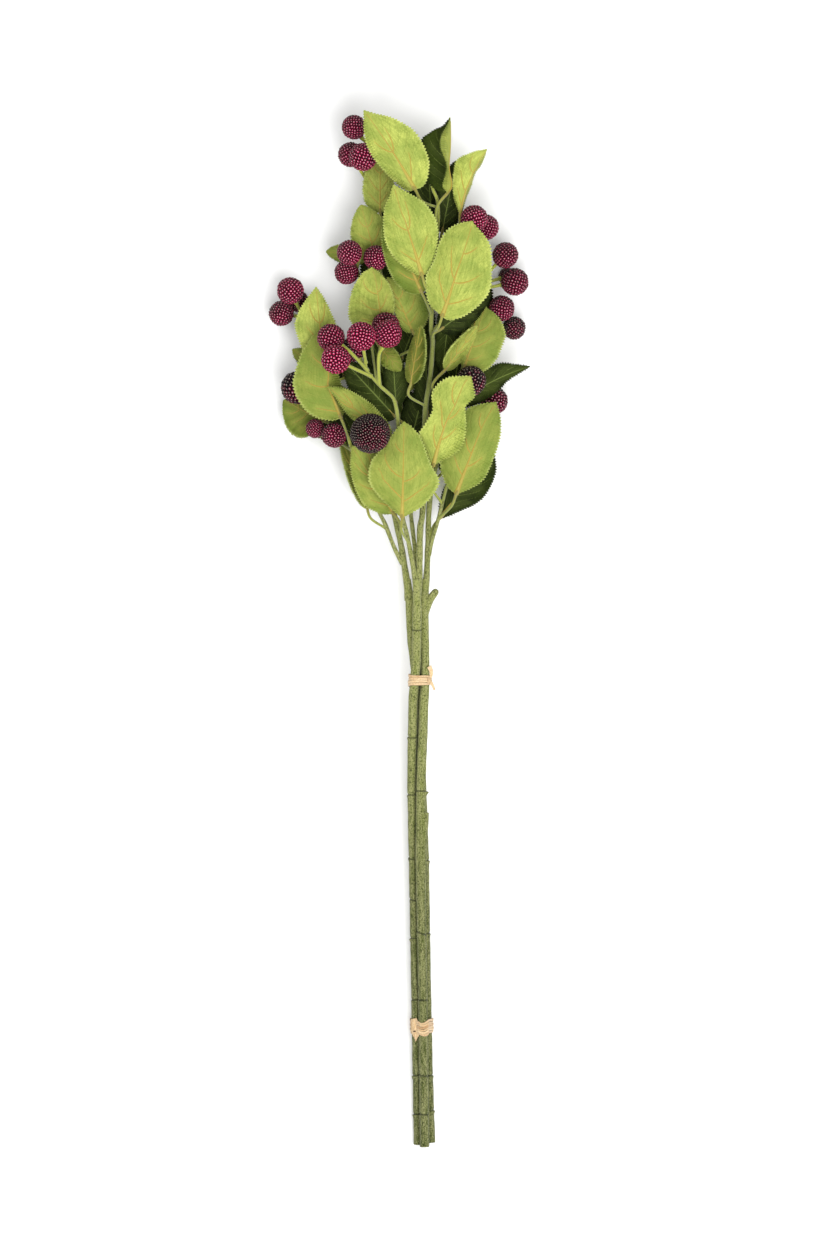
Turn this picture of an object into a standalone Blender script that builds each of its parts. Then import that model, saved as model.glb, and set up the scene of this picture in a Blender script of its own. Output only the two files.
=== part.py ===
"""Tied bunch of three leafy berry stems, lying on a surface, for Blender 4.5.

The tables are in millimetres and degrees, and the meshes are built in metres. The cut ends point to -Y
and the leafy heads to +Y. +Z is up, and the origin is on the surface under the middle of the bunch.
"""

import math
import random
from dataclasses import dataclass

import bmesh
import bpy
from mathutils import Euler, Matrix, Vector

MM = 0.001
SEED = 11

# Main stems
STEM_RADIUS = 3.13
LIP_RADIUS = 3.32
NECK_RADIUS = 2.85
LIP_HALF = 0.6
TOP_SHARE = 0.8
STEM_SIDES = 8
TWIG_SIDES = 6
STALK_SIDES = 4

# Leaves
BLADE_THICKNESS = 0.9
BLADE_ROWS = 8
STALK_RADIUS = 0.85
STALK_SUNK = 3.5
TOOTH_OUT = 1.05
TOOTH_IN = 0.93
BASE_HALF_WIDTH = 0.075
TIP_HALF_WIDTH = 0.05
WIDEST = 0.45
ROOT_POWER = 0.45
RIPPLES = 1.5
RIPPLE_SKEW = 1.7
KNEE_SHARE = 0.4

# Berries
BEAD_PIT = 0.9
BEAD_CORNER = 100.0 / 3.0
BERRY_STALK_RADIUS = 0.8
GAP = 0.35
FLAT_DEPTH = 0.9

# Raffia ties
TIE_SIDES = 12
TIE_ROWS = 4
TIE_THICKNESS = 1.0
TIE_RIDGE = 0.35
KNOT_ARC = math.radians(6.0)
KNOT_RADIUS = 1.7
KNOT_SHARE = 0.36
TAIL_RADII = (1.1, 1.0, 0.8)


@dataclass(frozen=True)
class Section:
    """Place of the bundle of main stems at one distance along it."""

    y: float
    x: float
    spread: float
    twist: float


@dataclass(frozen=True)
class Leaf:
    """A leaf. Each side is how far its margin reaches out and rises, from above and looking to the tip."""

    base: tuple
    tip: tuple
    left: tuple
    right: tuple
    twig: str
    leaves_at: float
    bow: float = 0.0
    arch: float = 3.0
    wave: float = 1.0
    taper: float = 0.75


@dataclass(frozen=True)
class Berry:
    """A berry on its stalk, which leaves a twig at a distance along Y and may pass a point on its way."""

    centre: tuple
    diameter: float
    twig: str
    leaves_at: float
    via: tuple = ()
    rests: bool = False


BUNDLE = (
    Section(34.0, 11.4, 6.8, 0.0),
    Section(14.0, 12.0, 5.2, 0.0),
    Section(-6.0, 12.2, 4.8, 8.0),
    Section(-20.0, 12.9, 4.1, 20.0),
    Section(-46.0, 13.1, 4.1, 65.0),
    Section(-99.0, 12.6, 4.1, 92.0),
    Section(-151.0, 13.4, 4.2, 112.0),
    Section(-237.0, 14.9, 4.1, 110.0),
    Section(-290.0, 15.8, 4.2, 114.0),
    Section(-343.0, 16.9, 4.7, 120.0),
)
CUT_END = -342.2
END_HEIGHT = STEM_RADIUS + 4.7 / 2
RISE = 0.0582
BUNDLE_STEP = 60.0

# Each main stem: its place round the bundle at no twist, where it is cut, and its leaf joints
STEMS = {
    "left": (210.0, -339.6, (-318.5, -295.4, -201.0, -152.8)),
    "middle": (90.0, -340.9, (-321.1, -295.4, -245.2, -204.3, -179.2, -150.8, -109.2, -71.0)),
    "right": (330.0, CUT_END, (-321.1, -295.4, -245.2, -201.0, -106.6)),
}

# Twigs, from the main stem outwards, as (x, y, z, radius)
TWIGS = {
    "left": {
        "left_main": (
            (6.6, 20.0, 23.7, 2.4), (4.6, 36.0, 24.2, 2.2), (1.3, 56.4, 25.0, 2.0),
            (-2.6, 74.3, 25.5, 1.9), (-8.0, 95.0, 26.0, 1.8), (-17.0, 122.0, 26.5, 1.7),
            (-27.0, 150.0, 25.0, 1.6), (-36.0, 178.0, 22.0, 1.5), (-44.0, 200.0, 18.0, 1.3),
            (-54.0, 205.0, 15.0, 1.2), (-65.0, 208.5, 14.0, 1.0),
        ),
        "left_side": (
            (2.2, 44.0, 24.5, 1.4), (-3.3, 55.1, 26.5, 1.4), (-9.2, 70.3, 28.5, 1.4),
            (-12.5, 76.9, 29.0, 1.3),
            (-19.0, 92.0, 31.0, 1.3), (-26.0, 107.0, 33.0, 1.2), (-31.5, 121.0, 36.0, 1.2),
            (-34.0, 129.0, 39.5, 1.0),
        ),
        "left_low": (
            (-30.5, 118.5, 35.0, 1.0), (-38.9, 124.0, 27.0, 1.0), (-48.0, 127.5, 21.5, 0.9),
            (-53.0, 129.5, 20.0, 0.8),
        ),
    },
    "middle": {
        "middle_front": (
            (11.3, 24.0, 32.3, 1.8), (10.3, 36.0, 33.4, 1.8), (7.9, 49.8, 34.5, 1.6), (5.3, 63.0, 36.5, 1.5),
            (2.6, 74.3, 38.0, 1.4), (0.5, 95.0, 40.0, 1.3), (-0.5, 118.0, 42.0, 1.3),
            (-0.7, 138.9, 44.5, 1.3),
            (-3.3, 152.1, 45.5, 1.2), (-7.3, 156.8, 46.0, 1.2), (-12.5, 161.4, 46.5, 1.1),
            (-20.5, 170.6, 46.5, 0.9), (-22.1, 177.0, 47.0, 0.8),
        ),
        "middle_main": (
            (11.8, 22.0, 31.8, 2.4), (13.2, 37.0, 31.6, 2.3), (13.9, 66.3, 32.0, 2.1),
            (15.8, 82.8, 34.0, 2.0),
            (17.2, 142.2, 38.0, 1.7), (19.8, 162.0, 39.5, 1.7), (21.5, 178.5, 40.5, 1.6),
            (22.1, 191.7, 41.5, 1.6), (21.3, 204.9, 42.5, 1.5), (25.1, 257.7, 44.5, 1.3),
            (25.7, 280.8, 46.0, 1.1), (22.4, 290.7, 48.0, 1.0), (19.1, 300.0, 49.0, 0.8),
        ),
        "middle_back": (
            (11.6, 20.0, 31.0, 1.6), (11.9, 38.0, 27.0, 1.5), (10.6, 53.1, 24.0, 1.5),
            (7.9, 76.2, 22.0, 1.4),
            (5.0, 110.0, 20.0, 1.4), (1.0, 150.0, 19.0, 1.3), (-5.0, 190.0, 19.0, 1.3),
            (-11.0, 230.0, 20.0, 1.2), (-16.0, 258.0, 22.0, 1.1), (-19.0, 285.0, 24.5, 1.0),
            (-22.0, 300.0, 27.5, 0.9), (-21.0, 309.0, 30.0, 0.8),
        ),
        "upper_left": (
            (-9.0, 217.0, 19.5, 1.0), (-16.0, 224.0, 21.5, 1.0), (-24.4, 231.3, 24.0, 0.9),
            (-28.4, 241.0, 29.0, 0.8),
        ),
        "upper_right": ((25.0, 252.0, 44.3, 1.0), (34.0, 258.0, 45.0, 0.9), (43.0, 263.0, 43.5, 0.8)),
    },
    "right": {
        "right_main": (
            (16.7, 22.0, 23.9, 2.4), (18.2, 36.0, 23.6, 2.1), (19.1, 56.4, 23.0, 1.9),
            (20.5, 87.5, 22.5, 1.8),
            (27.0, 120.0, 22.0, 1.7), (36.0, 150.0, 21.0, 1.6), (44.0, 180.0, 20.0, 1.5),
            (51.0, 210.0, 18.0, 1.4), (57.0, 233.0, 17.0, 1.2), (61.5, 240.0, 18.0, 1.0),
        ),
        "right_side": (
            (19.5, 49.8, 23.5, 1.4), (22.5, 62.0, 26.0, 1.3), (25.7, 72.9, 28.0, 1.3),
            (29.0, 86.1, 30.0, 1.2),
            (32.5, 100.0, 31.0, 1.0), (36.0, 118.0, 31.5, 0.9),
        ),
        "right_stub": ((16.6, 9.0, 23.0, 2.6), (20.0, 19.5, 24.0, 2.5), (25.2, 27.0, 25.0, 2.4)),
    },
}

LEAVES = {
    "left": (
        Leaf((-38.3, 140.3, 45.0), (-53.5, 197.7, 38.0), (23.0, -4.0), (7.0, -12.0), "left_side", 126.0),
        Leaf((-49.5, 170.6, 28.0), (-54.8, 227.0, 31.0), (16.0, -2.0), (10.0, -5.0),
             "left_main", 168.0, taper=1.0),
        Leaf((-43.0, 165.0, 21.0), (-70.5, 186.0, 19.0), (7.0, 0.0), (9.0, -3.0), "left_main", 157.0),
        Leaf((-21.1, 80.9, 27.0), (-38.9, 127.7, 19.0), (5.0, 6.0), (5.0, -4.0), "left_side", 67.0),
        Leaf((-3.3, 76.9, 34.0), (-31.0, 121.8, 42.0), (16.5, -2.0), (10.5, -5.0), "left_main", 60.0),
        Leaf((-51.0, 139.0, 14.5), (-76.5, 152.5, 12.0), (17.0, 0.0), (8.0, -2.0), "left_low", 128.0),
    ),
    "middle": (
        Leaf((10.6, 290.7, 60.0), (-23.1, 342.2, 65.0), (11.5, -7.0), (19.8, -3.0),
             "middle_main", 279.0, arch=4.0, taper=0.9),
        Leaf((31.7, 288.1, 51.0), (33.7, 338.0, 54.0), (17.0, -3.0), (-6.0, 13.0), "middle_main", 258.0),
        Leaf((40.3, 274.2, 49.0), (57.8, 317.1, 52.0), (14.6, -3.0), (1.5, -13.0), "middle_main", 250.0),
        Leaf((28.4, 263.0, 38.0), (37.6, 309.9, 39.0), (9.0, 2.0), (10.0, -2.0), "middle_main", 240.0),
        Leaf((22.0, 260.0, 34.0), (19.0, 313.0, 35.0), (12.0, 0.0), (8.0, -1.0), "middle_main", 236.0),
        Leaf((15.2, 234.0, 60.0), (-3.6, 293.0, 70.0), (14.7, -6.0), (18.2, -4.0), "middle_main", 221.0),
        Leaf((28.4, 206.9, 57.0), (48.2, 269.3, 66.0), (17.8, -4.0), (24.4, -5.0),
             "middle_main", 196.0, arch=4.0, taper=0.55),
        Leaf((-12.5, 276.2, 31.0), (-12.5, 317.5, 32.0), (11.0, -1.0), (9.0, -1.0), "middle_back", 262.0),
        Leaf((-14.5, 243.2, 29.0), (-25.1, 280.8, 40.0), (12.5, -2.0), (14.0, -3.0), "middle_back", 226.0),
        Leaf((-22.0, 246.5, 22.0), (-48.2, 250.8, 18.0), (6.0, 0.0), (7.0, -2.0), "middle_back", 238.0),
        Leaf((-11.2, 198.3, 22.0), (-17.8, 239.3, 52.0), (20.0, -2.0), (11.0, 0.0),
             "middle_back", 182.0, arch=-2.0),
        Leaf((15.0, 223.0, 52.0), (-9.2, 274.2, 56.0), (16.0, -5.0), (14.0, -3.0), "middle_main", 208.0),
        Leaf((9.2, 197.0, 23.0), (-7.9, 233.3, 34.0), (5.5, -1.5), (15.4, -1.0),
             "middle_back", 180.0, arch=-1.0),
        Leaf((27.1, 198.3, 48.0), (60.0, 222.8, 47.0), (11.0, 0.0), (9.5, -2.0), "middle_main", 186.0),
        Leaf((33.0, 208.0, 42.0), (28.4, 170.6, 33.0), (9.0, -2.0), (8.0, -2.0), "middle_main", 196.0),
        Leaf((7.9, 162.7, 48.0), (14.5, 201.0, 54.0), (5.0, -12.0), (6.5, 9.0), "middle_main", 148.0),
        Leaf((8.6, 128.4, 24.0), (17.2, 162.7, 23.0), (10.0, 0.0), (10.0, -2.0), "middle_back", 104.0),
        Leaf((19.0, 141.0, 28.0), (17.0, 196.0, 27.0), (8.0, 0.0), (9.0, -1.0), "middle_main", 124.0),
        Leaf((-2.0, 140.9, 31.0), (-35.6, 177.2, 30.0), (13.0, -3.0), (13.0, -1.0), "middle_back", 118.0),
        Leaf((-2.0, 148.8, 37.0), (-4.6, 188.4, 36.0), (7.0, 0.0), (8.0, 0.0), "middle_front", 128.0),
        Leaf((-12.0, 186.0, 39.0), (1.0, 171.5, 41.0), (6.0, 0.0), (6.0, -2.0), "middle_front", 164.0),
        Leaf((-4.6, 125.7, 46.0), (-46.9, 160.7, 50.0), (8.5, -2.0), (8.2, -4.0), "middle_front", 110.0),
        Leaf((2.0, 74.3, 49.0), (3.3, 137.6, 54.0), (23.0, -3.0), (25.0, -1.0),
             "middle_front", 58.0, taper=1.1),
    ),
    "right": (
        Leaf((22.4, 108.6, 44.0), (47.5, 167.3, 58.0), (17.0, -2.0), (12.0, -8.0),
             "right_side", 84.0, wave=3.0),
        Leaf((37.6, 90.1, 35.0), (64.0, 150.8, 35.0), (18.0, -2.0), (10.5, -5.0),
             "right_side", 74.0, taper=0.5),
        Leaf((27.1, 74.3, 24.0), (61.4, 119.1, 20.0), (12.0, -2.0), (14.0, -3.0), "right_main", 56.0),
        Leaf((35.0, 147.5, 26.0), (86.5, 174.6, 26.0), (12.0, -1.0), (6.0, -1.5),
             "right_main", 132.0, bow=2.7, taper=1.0),
        Leaf((30.4, 171.9, 46.0), (51.5, 201.0, 43.0), (5.0, 9.0), (4.6, -8.0), "right_main", 146.0),
        Leaf((42.9, 173.3, 35.0), (57.0, 214.0, 33.0), (8.0, -2.0), (19.0, -2.0),
             "right_main", 158.0, arch=1.0),
    ),
}

BERRIES = {
    "berry_crown_1": Berry((-29.7, 332.3, 38.0), 16.8, "middle_back", 306.0, (-20.0, 319.0, 34.0)),
    "berry_crown_2": Berry((-32.0, 314.5, 29.5), 17.2, "middle_back", 298.0),
    "berry_crown_3": Berry((-23.8, 312.2, 46.5), 19.1, "middle_back", 303.0),
    "berry_upper_left_1": Berry((-32.7, 249.2, 48.0), 17.2, "upper_left", 240.0, (-26.0, 246.0, 38.0)),
    "berry_upper_left_2": Berry((-15.2, 245.9, 44.0), 17.2, "upper_left", 231.0),
    "berry_upper_left_3": Berry((-34.7, 236.6, 34.5), 16.5, "upper_left", 234.0),
    "berry_outer_left_1": Berry((-71.9, 224.7, 24.5), 18.5, "left_main", 208.0, (-67.5, 215.5, 20.5)),
    "berry_outer_left_2": Berry((-77.9, 209.9, 16.0), 17.2, "left_main", 207.0),
    "berry_outer_left_3": Berry((-66.7, 218.1, 7.25), 14.5, "left_main", 208.2, rests=True),
    "berry_front_1": Berry((-44.9, 193.1, 49.5), 18.8, "middle_front", 171.5, (-32.3, 183.8, 51.5)),
    "berry_front_2": Berry((-41.6, 178.5, 62.0), 19.8, "middle_front", 167.5, (-28.0, 172.0, 50.0)),
    "berry_front_3": Berry((-24.8, 193.7, 64.0), 19.8, "middle_front", 176.5),
    "berry_front_4": Berry((-30.4, 185.8, 40.0), 17.2, "middle_front", 171.0),
    "berry_front_5": Berry((-7.3, 195.4, 55.0), 19.1, "middle_front", 162.0, (-13.5, 180.0, 50.0)),
    "berry_front_6": Berry((-8.9, 201.0, 36.6), 19.1, "middle_front", 163.0, (-13.0, 182.0, 42.0)),
    "berry_upper_right_1": Berry((49.5, 271.6, 51.5), 18.5, "upper_right", 262.0),
    "berry_upper_right_2": Berry((57.4, 266.3, 35.5), 17.5, "upper_right", 261.5),
    "berry_outer_right_1": Berry((70.3, 248.2, 24.5), 17.8, "right_main", 239.0),
    "berry_outer_right_2": Berry((76.6, 230.7, 21.5), 18.8, "right_main", 226.0),
    "berry_outer_right_3": Berry((71.9, 234.6, 6.25), 12.5, "right_main", 230.0, rests=True),
    "berry_outer_right_4": Berry((68.0, 213.2, 24.0), 17.5, "right_main", 206.0),
    "berry_outer_right_5": Berry((76.2, 200.3, 14.0), 15.8, "right_main", 190.0),
    "berry_inner_left": Berry((-67.3, 160.7, 24.0), 22.4, "left_main", 146.0, (-46.0, 153.0, 22.0)),
    "berry_low_left_1": Berry((-55.4, 133.5, 27.5), 13.2, "left_low", 129.0),
    "berry_low_left_2": Berry((-42.9, 129.0, 36.5), 17.2, "left_low", 126.5),
    "berry_large": Berry((-18.8, 129.7, 66.0), 27.0, "middle_front", 117.0, (-11.0, 123.5, 45.5)),
    "berry_inner_right_1": Berry((47.5, 164.7, 43.0), 20.5, "right_main", 150.0),
    "berry_inner_right_2": Berry((62.7, 152.1, 16.5), 19.1, "right_main", 136.0),
    "berry_back_1": Berry((9.0, 238.0, 9.5), 17.0, "middle_back", 220.0),
    "berry_back_2": Berry((15.0, 168.0, 8.7), 15.6, "middle_back", 152.0),
}

# Leaves on the back: for each stem its twig, then where each leaf leaves it, its turn to the left and
# its half width
BACK_LEAVES = {
    "left": ("left_main", ((88.0, 12.0, 10.0), (125.0, 44.0, 12.0), (160.0, 18.0, 11.0))),
    "middle": ("middle_back", ((104.0, -32.0, 13.0), (136.0, 14.0, 14.0), (170.0, -28.0, 14.0),
                               (204.0, 4.0, 12.0), (240.0, -34.0, 14.0))),
    "right": ("right_main", ((98.0, -34.0, 13.0), (140.0, 7.0, 13.0), (188.0, 8.0, 13.0))),
}
BACK_LENGTH = 52.0
BACK_STALK = 9.0
BACK_BASE_HEIGHT = 12.0
BACK_TIP_HEIGHT = 4.0
BACK_HEADING_REACH = 4.0

# The ties: where each sits along the bundle, its width, and the knot's place round it
TIES = {
    "tie_upper": (-32.9, 7.4, 50.0, ((1.0, 10.0), (8.4, -7.0))),
    "tie_lower": (-262.4, 12.6, 142.0, ((1.0, -11.0),)),
}


# Numbers between the driving ones

def blend(low, high, share):
    """Value a share of the way from low to high."""
    return low + (high - low) * share


def bundle_at(y):
    """The bundle's middle (x, z), its spread and its twist at a distance along it."""
    y = min(max(y, BUNDLE[-1].y), BUNDLE[0].y)
    for upper, lower in zip(BUNDLE, BUNDLE[1:]):
        if y >= lower.y:
            break
    share = (y - lower.y) / (upper.y - lower.y)
    height = END_HEIGHT + RISE * (y - CUT_END)
    return (blend(lower.x, upper.x, share), height, blend(lower.spread, upper.spread, share),
            blend(lower.twist, upper.twist, share))


def stem_centre(around, y):
    """Centre (x, z) of the main stem whose place round the bundle is given in degrees."""
    x, z, spread, twist = bundle_at(y)
    turn = math.radians(around + twist)
    return x + spread * math.cos(turn), z + spread * math.sin(turn)


def place_on_twig(path, y):
    """Point (x, y, z) where a twig passes a distance along Y."""
    for low, high in zip(path, path[1:]):
        if low[1] <= y <= high[1]:
            share = (y - low[1]) / (high[1] - low[1])
            return Vector([blend(low[i], high[i], share) for i in range(3)])
    return Vector(path[-1][:3])


# Materials

def material(name, colour, roughness):
    """A plain Principled material."""
    made = bpy.data.materials.new(name)
    made.use_nodes = True
    shader = made.node_tree.nodes["Principled BSDF"]
    shader.inputs["Base Color"].default_value = (*colour, 1.0)
    shader.inputs["Roughness"].default_value = roughness
    shader.inputs["Metallic"].default_value = 0.0
    return made


# Building blocks

def mesh_object(name, mesh, collection):
    """A new object that shows a mesh."""
    made = bpy.data.objects.new(name, mesh)
    collection.objects.link(made)
    return made


def evaluated_mesh(item):
    """A copy of an object's mesh as its modifiers leave it."""
    bpy.context.view_layer.update()
    return bpy.data.meshes.new_from_object(item.evaluated_get(bpy.context.evaluated_depsgraph_get()))


def tube(name, path, sides, collection):
    """A closed tube through points (x, y, z, radius), as a mesh object with its caps welded."""
    curve = bpy.data.curves.new(name, "CURVE")
    curve.dimensions = "3D"
    curve.bevel_depth = MM
    curve.bevel_resolution = sides // 2 - 2
    curve.use_fill_caps = True
    spline = curve.splines.new("POLY")
    spline.points.add(len(path) - 1)
    for point, (x, y, z, radius) in zip(spline.points, path):
        point.co = (x * MM, y * MM, z * MM, 1.0)
        point.radius = radius
    guide = mesh_object(name, curve, collection)
    mesh = evaluated_mesh(guide)
    bpy.data.objects.remove(guide)
    work = bmesh.new()
    work.from_mesh(mesh)
    bmesh.ops.remove_doubles(work, verts=work.verts, dist=0.00001)
    bmesh.ops.recalc_face_normals(work, faces=work.faces)
    work.to_mesh(mesh)
    work.free()
    return mesh_object(name, mesh, collection)


def leaf_outline(along, taper):
    """Share of a leaf's full half width at a share of its length: rounded at the base, pointed at the tip."""
    return (along / WIDEST) ** ROOT_POWER * ((1.0 - along) / (1.0 - WIDEST)) ** taper


def leaf_point(leaf, along, across, scale):
    """Point in millimetres on a leaf's surface; across runs from -1 on the left to 1 on the right."""
    base, tip = Vector(leaf.base), Vector(leaf.tip)
    heading = (tip - base).to_2d().normalized()
    leftward = Vector((-heading.y, heading.x, 0.0))
    middle = base.lerp(tip, along)
    bulge = 4.0 * along * (1.0 - along)
    middle += leftward * leaf.bow * bulge + Vector((0.0, 0.0, leaf.arch * bulge))
    reach, rise = leaf.left if across < 0 else leaf.right
    side = leftward if across < 0 else -leftward
    ripple = leaf.wave * math.sin(math.tau * RIPPLES * along + RIPPLE_SKEW * across) * across * across
    return middle + (side * reach + Vector((0.0, 0.0, rise + ripple))) * abs(across) * scale


def blade(name, leaf, collection):
    """A leaf's blade: a folded, toothed sheet, split into triangles before it gets its thickness."""
    work = bmesh.new()
    bmesh.ops.create_grid(work, x_segments=2, y_segments=BLADE_ROWS, size=0.5)
    for vertex in work.verts:
        row = round((vertex.co.y + 0.5) * BLADE_ROWS)
        even = row / BLADE_ROWS
        along = blend(even, (1.0 - math.cos(math.pi * even)) / 2.0, 0.5)
        if row == 0:
            scale = BASE_HALF_WIDTH
        elif row == BLADE_ROWS:
            scale = TIP_HALF_WIDTH
        else:
            scale = leaf_outline(along, leaf.taper) * (TOOTH_OUT if row % 2 else TOOTH_IN)
        vertex.co = leaf_point(leaf, along, 2.0 * vertex.co.x, scale) * MM
    bmesh.ops.triangulate(work, faces=work.faces)
    mesh = bpy.data.meshes.new(name)
    work.to_mesh(mesh)
    work.free()
    made = mesh_object(name, mesh, collection)
    solid = made.modifiers.new("thickness", "SOLIDIFY")
    solid.thickness = BLADE_THICKNESS * MM
    solid.offset = 0.0
    return made


def leaf_stalk(name, leaf, twigs, collection):
    """The stalk from a twig into a leaf's base, sunk well in at both ends."""
    start = place_on_twig(twigs[leaf.twig], leaf.leaves_at)
    base = Vector(leaf.base)
    inward = (leaf_point(leaf, 0.08, 0.0, 0.0) - base).normalized()
    knee = base - inward * (base - start).length * KNEE_SHARE
    end = base + inward * STALK_SUNK
    path = [(*start, STALK_RADIUS), (*knee, STALK_RADIUS), (*end, STALK_RADIUS)]
    return tube(name, path, STALK_SIDES, collection)


def berry_stalk(name, berry, twigs, collection):
    """The stalk from a twig to just short of its berry."""
    start = place_on_twig(twigs[berry.twig], berry.leaves_at)
    stops = [start] + ([Vector(berry.via)] if berry.via else [])
    centre = Vector(berry.centre)
    inward = (centre - stops[-1]).normalized()
    stops.append(centre - inward * (berry.diameter / 2.0 + GAP))
    return tube(name, [(*stop, BERRY_STALK_RADIUS) for stop in stops], STALK_SIDES, collection)


def main_stem(name, around, cut, joints, collection):
    """A main stem, with a lip and a neck at each leaf joint."""
    radii = {cut: STEM_RADIUS, BUNDLE[0].y: STEM_RADIUS * TOP_SHARE}
    steps = int((BUNDLE[0].y - cut) / BUNDLE_STEP)
    for step in range(1, steps):
        y = blend(cut, BUNDLE[0].y, step / steps)
        if min(abs(y - joint) for joint in joints) > BUNDLE_STEP / 4.0:
            radii[y] = STEM_RADIUS
    for place, width, _, _ in TIES.values():
        radii[place - width / 2.0] = STEM_RADIUS
        radii[place + width / 2.0] = STEM_RADIUS
    for joint in joints:
        radii[joint - LIP_HALF] = LIP_RADIUS
        radii[joint + LIP_HALF] = NECK_RADIUS
    path = []
    for y in sorted(radii):
        x, z = stem_centre(around, y)
        path.append((x, y, z, radii[y]))
    return tube(name, path, STEM_SIDES, collection)


def largest_body(mesh):
    """Drop any loose scrap that a union left beside the main body."""
    work = bmesh.new()
    work.from_mesh(mesh)
    waiting = set(work.verts)
    bodies = []
    while waiting:
        fresh = [waiting.pop()]
        body = set(fresh)
        while fresh:
            for link in fresh.pop().link_edges:
                for vertex in link.verts:
                    if vertex not in body:
                        body.add(vertex)
                        fresh.append(vertex)
        waiting -= body
        bodies.append(body)
    bodies.sort(key=len)
    for scrap in bodies[:-1]:
        bmesh.ops.delete(work, geom=list(scrap), context="VERTS")
    bmesh.ops.triangulate(work, faces=work.faces)
    work.to_mesh(mesh)
    work.free()


def fuse(name, core, pieces, collection, finish):
    """One body from a core and a collection of the pieces that grow from it."""
    union = core.modifiers.new("union", "BOOLEAN")
    union.operation = "UNION"
    union.operand_type = "COLLECTION"
    union.collection = pieces
    union.solver = "EXACT"
    mesh = evaluated_mesh(core)
    bpy.data.objects.remove(core)
    for piece in list(pieces.objects):
        bpy.data.objects.remove(piece)
    bpy.data.collections.remove(pieces)
    largest_body(mesh)
    made = mesh_object(name, mesh, collection)
    mesh.name = name
    mesh.materials.clear()
    mesh.materials.append(finish)
    mesh.shade_smooth()
    mesh.set_sharp_from_angle(angle=math.radians(35.0))
    return made


# The pieces

def back_leaves(stem, chance):
    """Leaves on the back, which leave their twig to one side and droop to the surface."""
    twig, places = BACK_LEAVES[stem]
    path = TWIGS[stem][twig]
    made = []
    for place, turn, half in places:
        start = place_on_twig(path, place)
        ahead = (place_on_twig(path, place + BACK_HEADING_REACH) - start).to_2d().normalized()
        heading = Matrix.Rotation(math.radians(turn + chance.uniform(-2.0, 2.0)), 2) @ ahead
        length = BACK_LENGTH * chance.uniform(0.9, 1.02)
        base = start.to_2d() + heading * BACK_STALK
        tip = base + heading * length
        made.append(Leaf((*base, BACK_BASE_HEIGHT), (*tip, BACK_TIP_HEIGHT), (half, 1.5), (half, 1.5),
                         twig, place, arch=-1.0, wave=0.6))
    return made


def leafy_stem(stem, chance, collection, finish):
    """A main stem with its twigs, leaves and berry stalks, as one body."""
    name = "leafy_stem_" + stem
    pieces = bpy.data.collections.new(name + "_pieces")
    bpy.context.scene.collection.children.link(pieces)
    around, cut, joints = STEMS[stem]
    core = main_stem(name, around, cut, joints, collection)
    twigs = TWIGS[stem]
    for twig, path in twigs.items():
        tube(twig, path, TWIG_SIDES, pieces)
    for leaf in (*LEAVES[stem], *back_leaves(stem, chance)):
        blade("blade", leaf, pieces)
        leaf_stalk("leaf_stalk", leaf, twigs, pieces)
    for berry in BERRIES.values():
        if berry.twig in twigs:
            berry_stalk("berry_stalk", berry, twigs, pieces)
    return fuse(name, core, pieces, collection, finish)


def beaded_berry(name, berry, chance, collection, finish):
    """A ball covered with raised beads. One that carries the bunch has a small flat underneath."""
    work = bmesh.new()
    bmesh.ops.create_icosphere(work, subdivisions=1, radius=1.0)
    bmesh.ops.bevel(work, geom=work.verts, affect="VERTICES", offset_type="PERCENT", offset=BEAD_CORNER,
                    segments=1)
    for pit in work.verts:
        pit.co = pit.co.normalized() * berry.diameter / 2.0 * MM * BEAD_PIT
    beads = bmesh.ops.poke(work, faces=work.faces)["verts"]
    for bead in beads:
        bead.co = bead.co.normalized() * berry.diameter / 2.0 * MM
    turn = Euler([chance.uniform(0.0, math.pi) for _ in range(3)])
    if not berry.rests:
        bmesh.ops.rotate(work, matrix=turn.to_matrix(), verts=work.verts)
        height = berry.centre[2] * MM
    else:
        level = (FLAT_DEPTH - berry.diameter / 2.0) * MM
        bmesh.ops.bisect_plane(work, geom=work.verts[:] + work.edges[:] + work.faces[:],
                               plane_co=(0.0, 0.0, level), plane_no=(0.0, 0.0, -1.0), clear_outer=True)
        bmesh.ops.holes_fill(work, edges=work.edges)
        bmesh.ops.translate(work, vec=(0.0, 0.0, -level), verts=work.verts)
        height = 0.0
    bmesh.ops.triangulate(work, faces=work.faces)
    bmesh.ops.recalc_face_normals(work, faces=work.faces)
    mesh = bpy.data.meshes.new(name)
    work.to_mesh(mesh)
    work.free()
    mesh.materials.append(finish)
    made = mesh_object(name, mesh, collection)
    made.location = (berry.centre[0] * MM, berry.centre[1] * MM, height)
    return made


def band_point(y, angle, clearance):
    """Point of the outline that hugs the three main stems, in a direction round the bundle."""
    outward = Vector((math.cos(angle), math.sin(angle)))
    centres = [Vector(stem_centre(around, y)) for around, _, _ in STEMS.values()]
    nearest = max(centres, key=lambda centre: centre.dot(outward))
    spot = nearest + outward * clearance
    return Vector((spot.x, y, spot.y))


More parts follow.
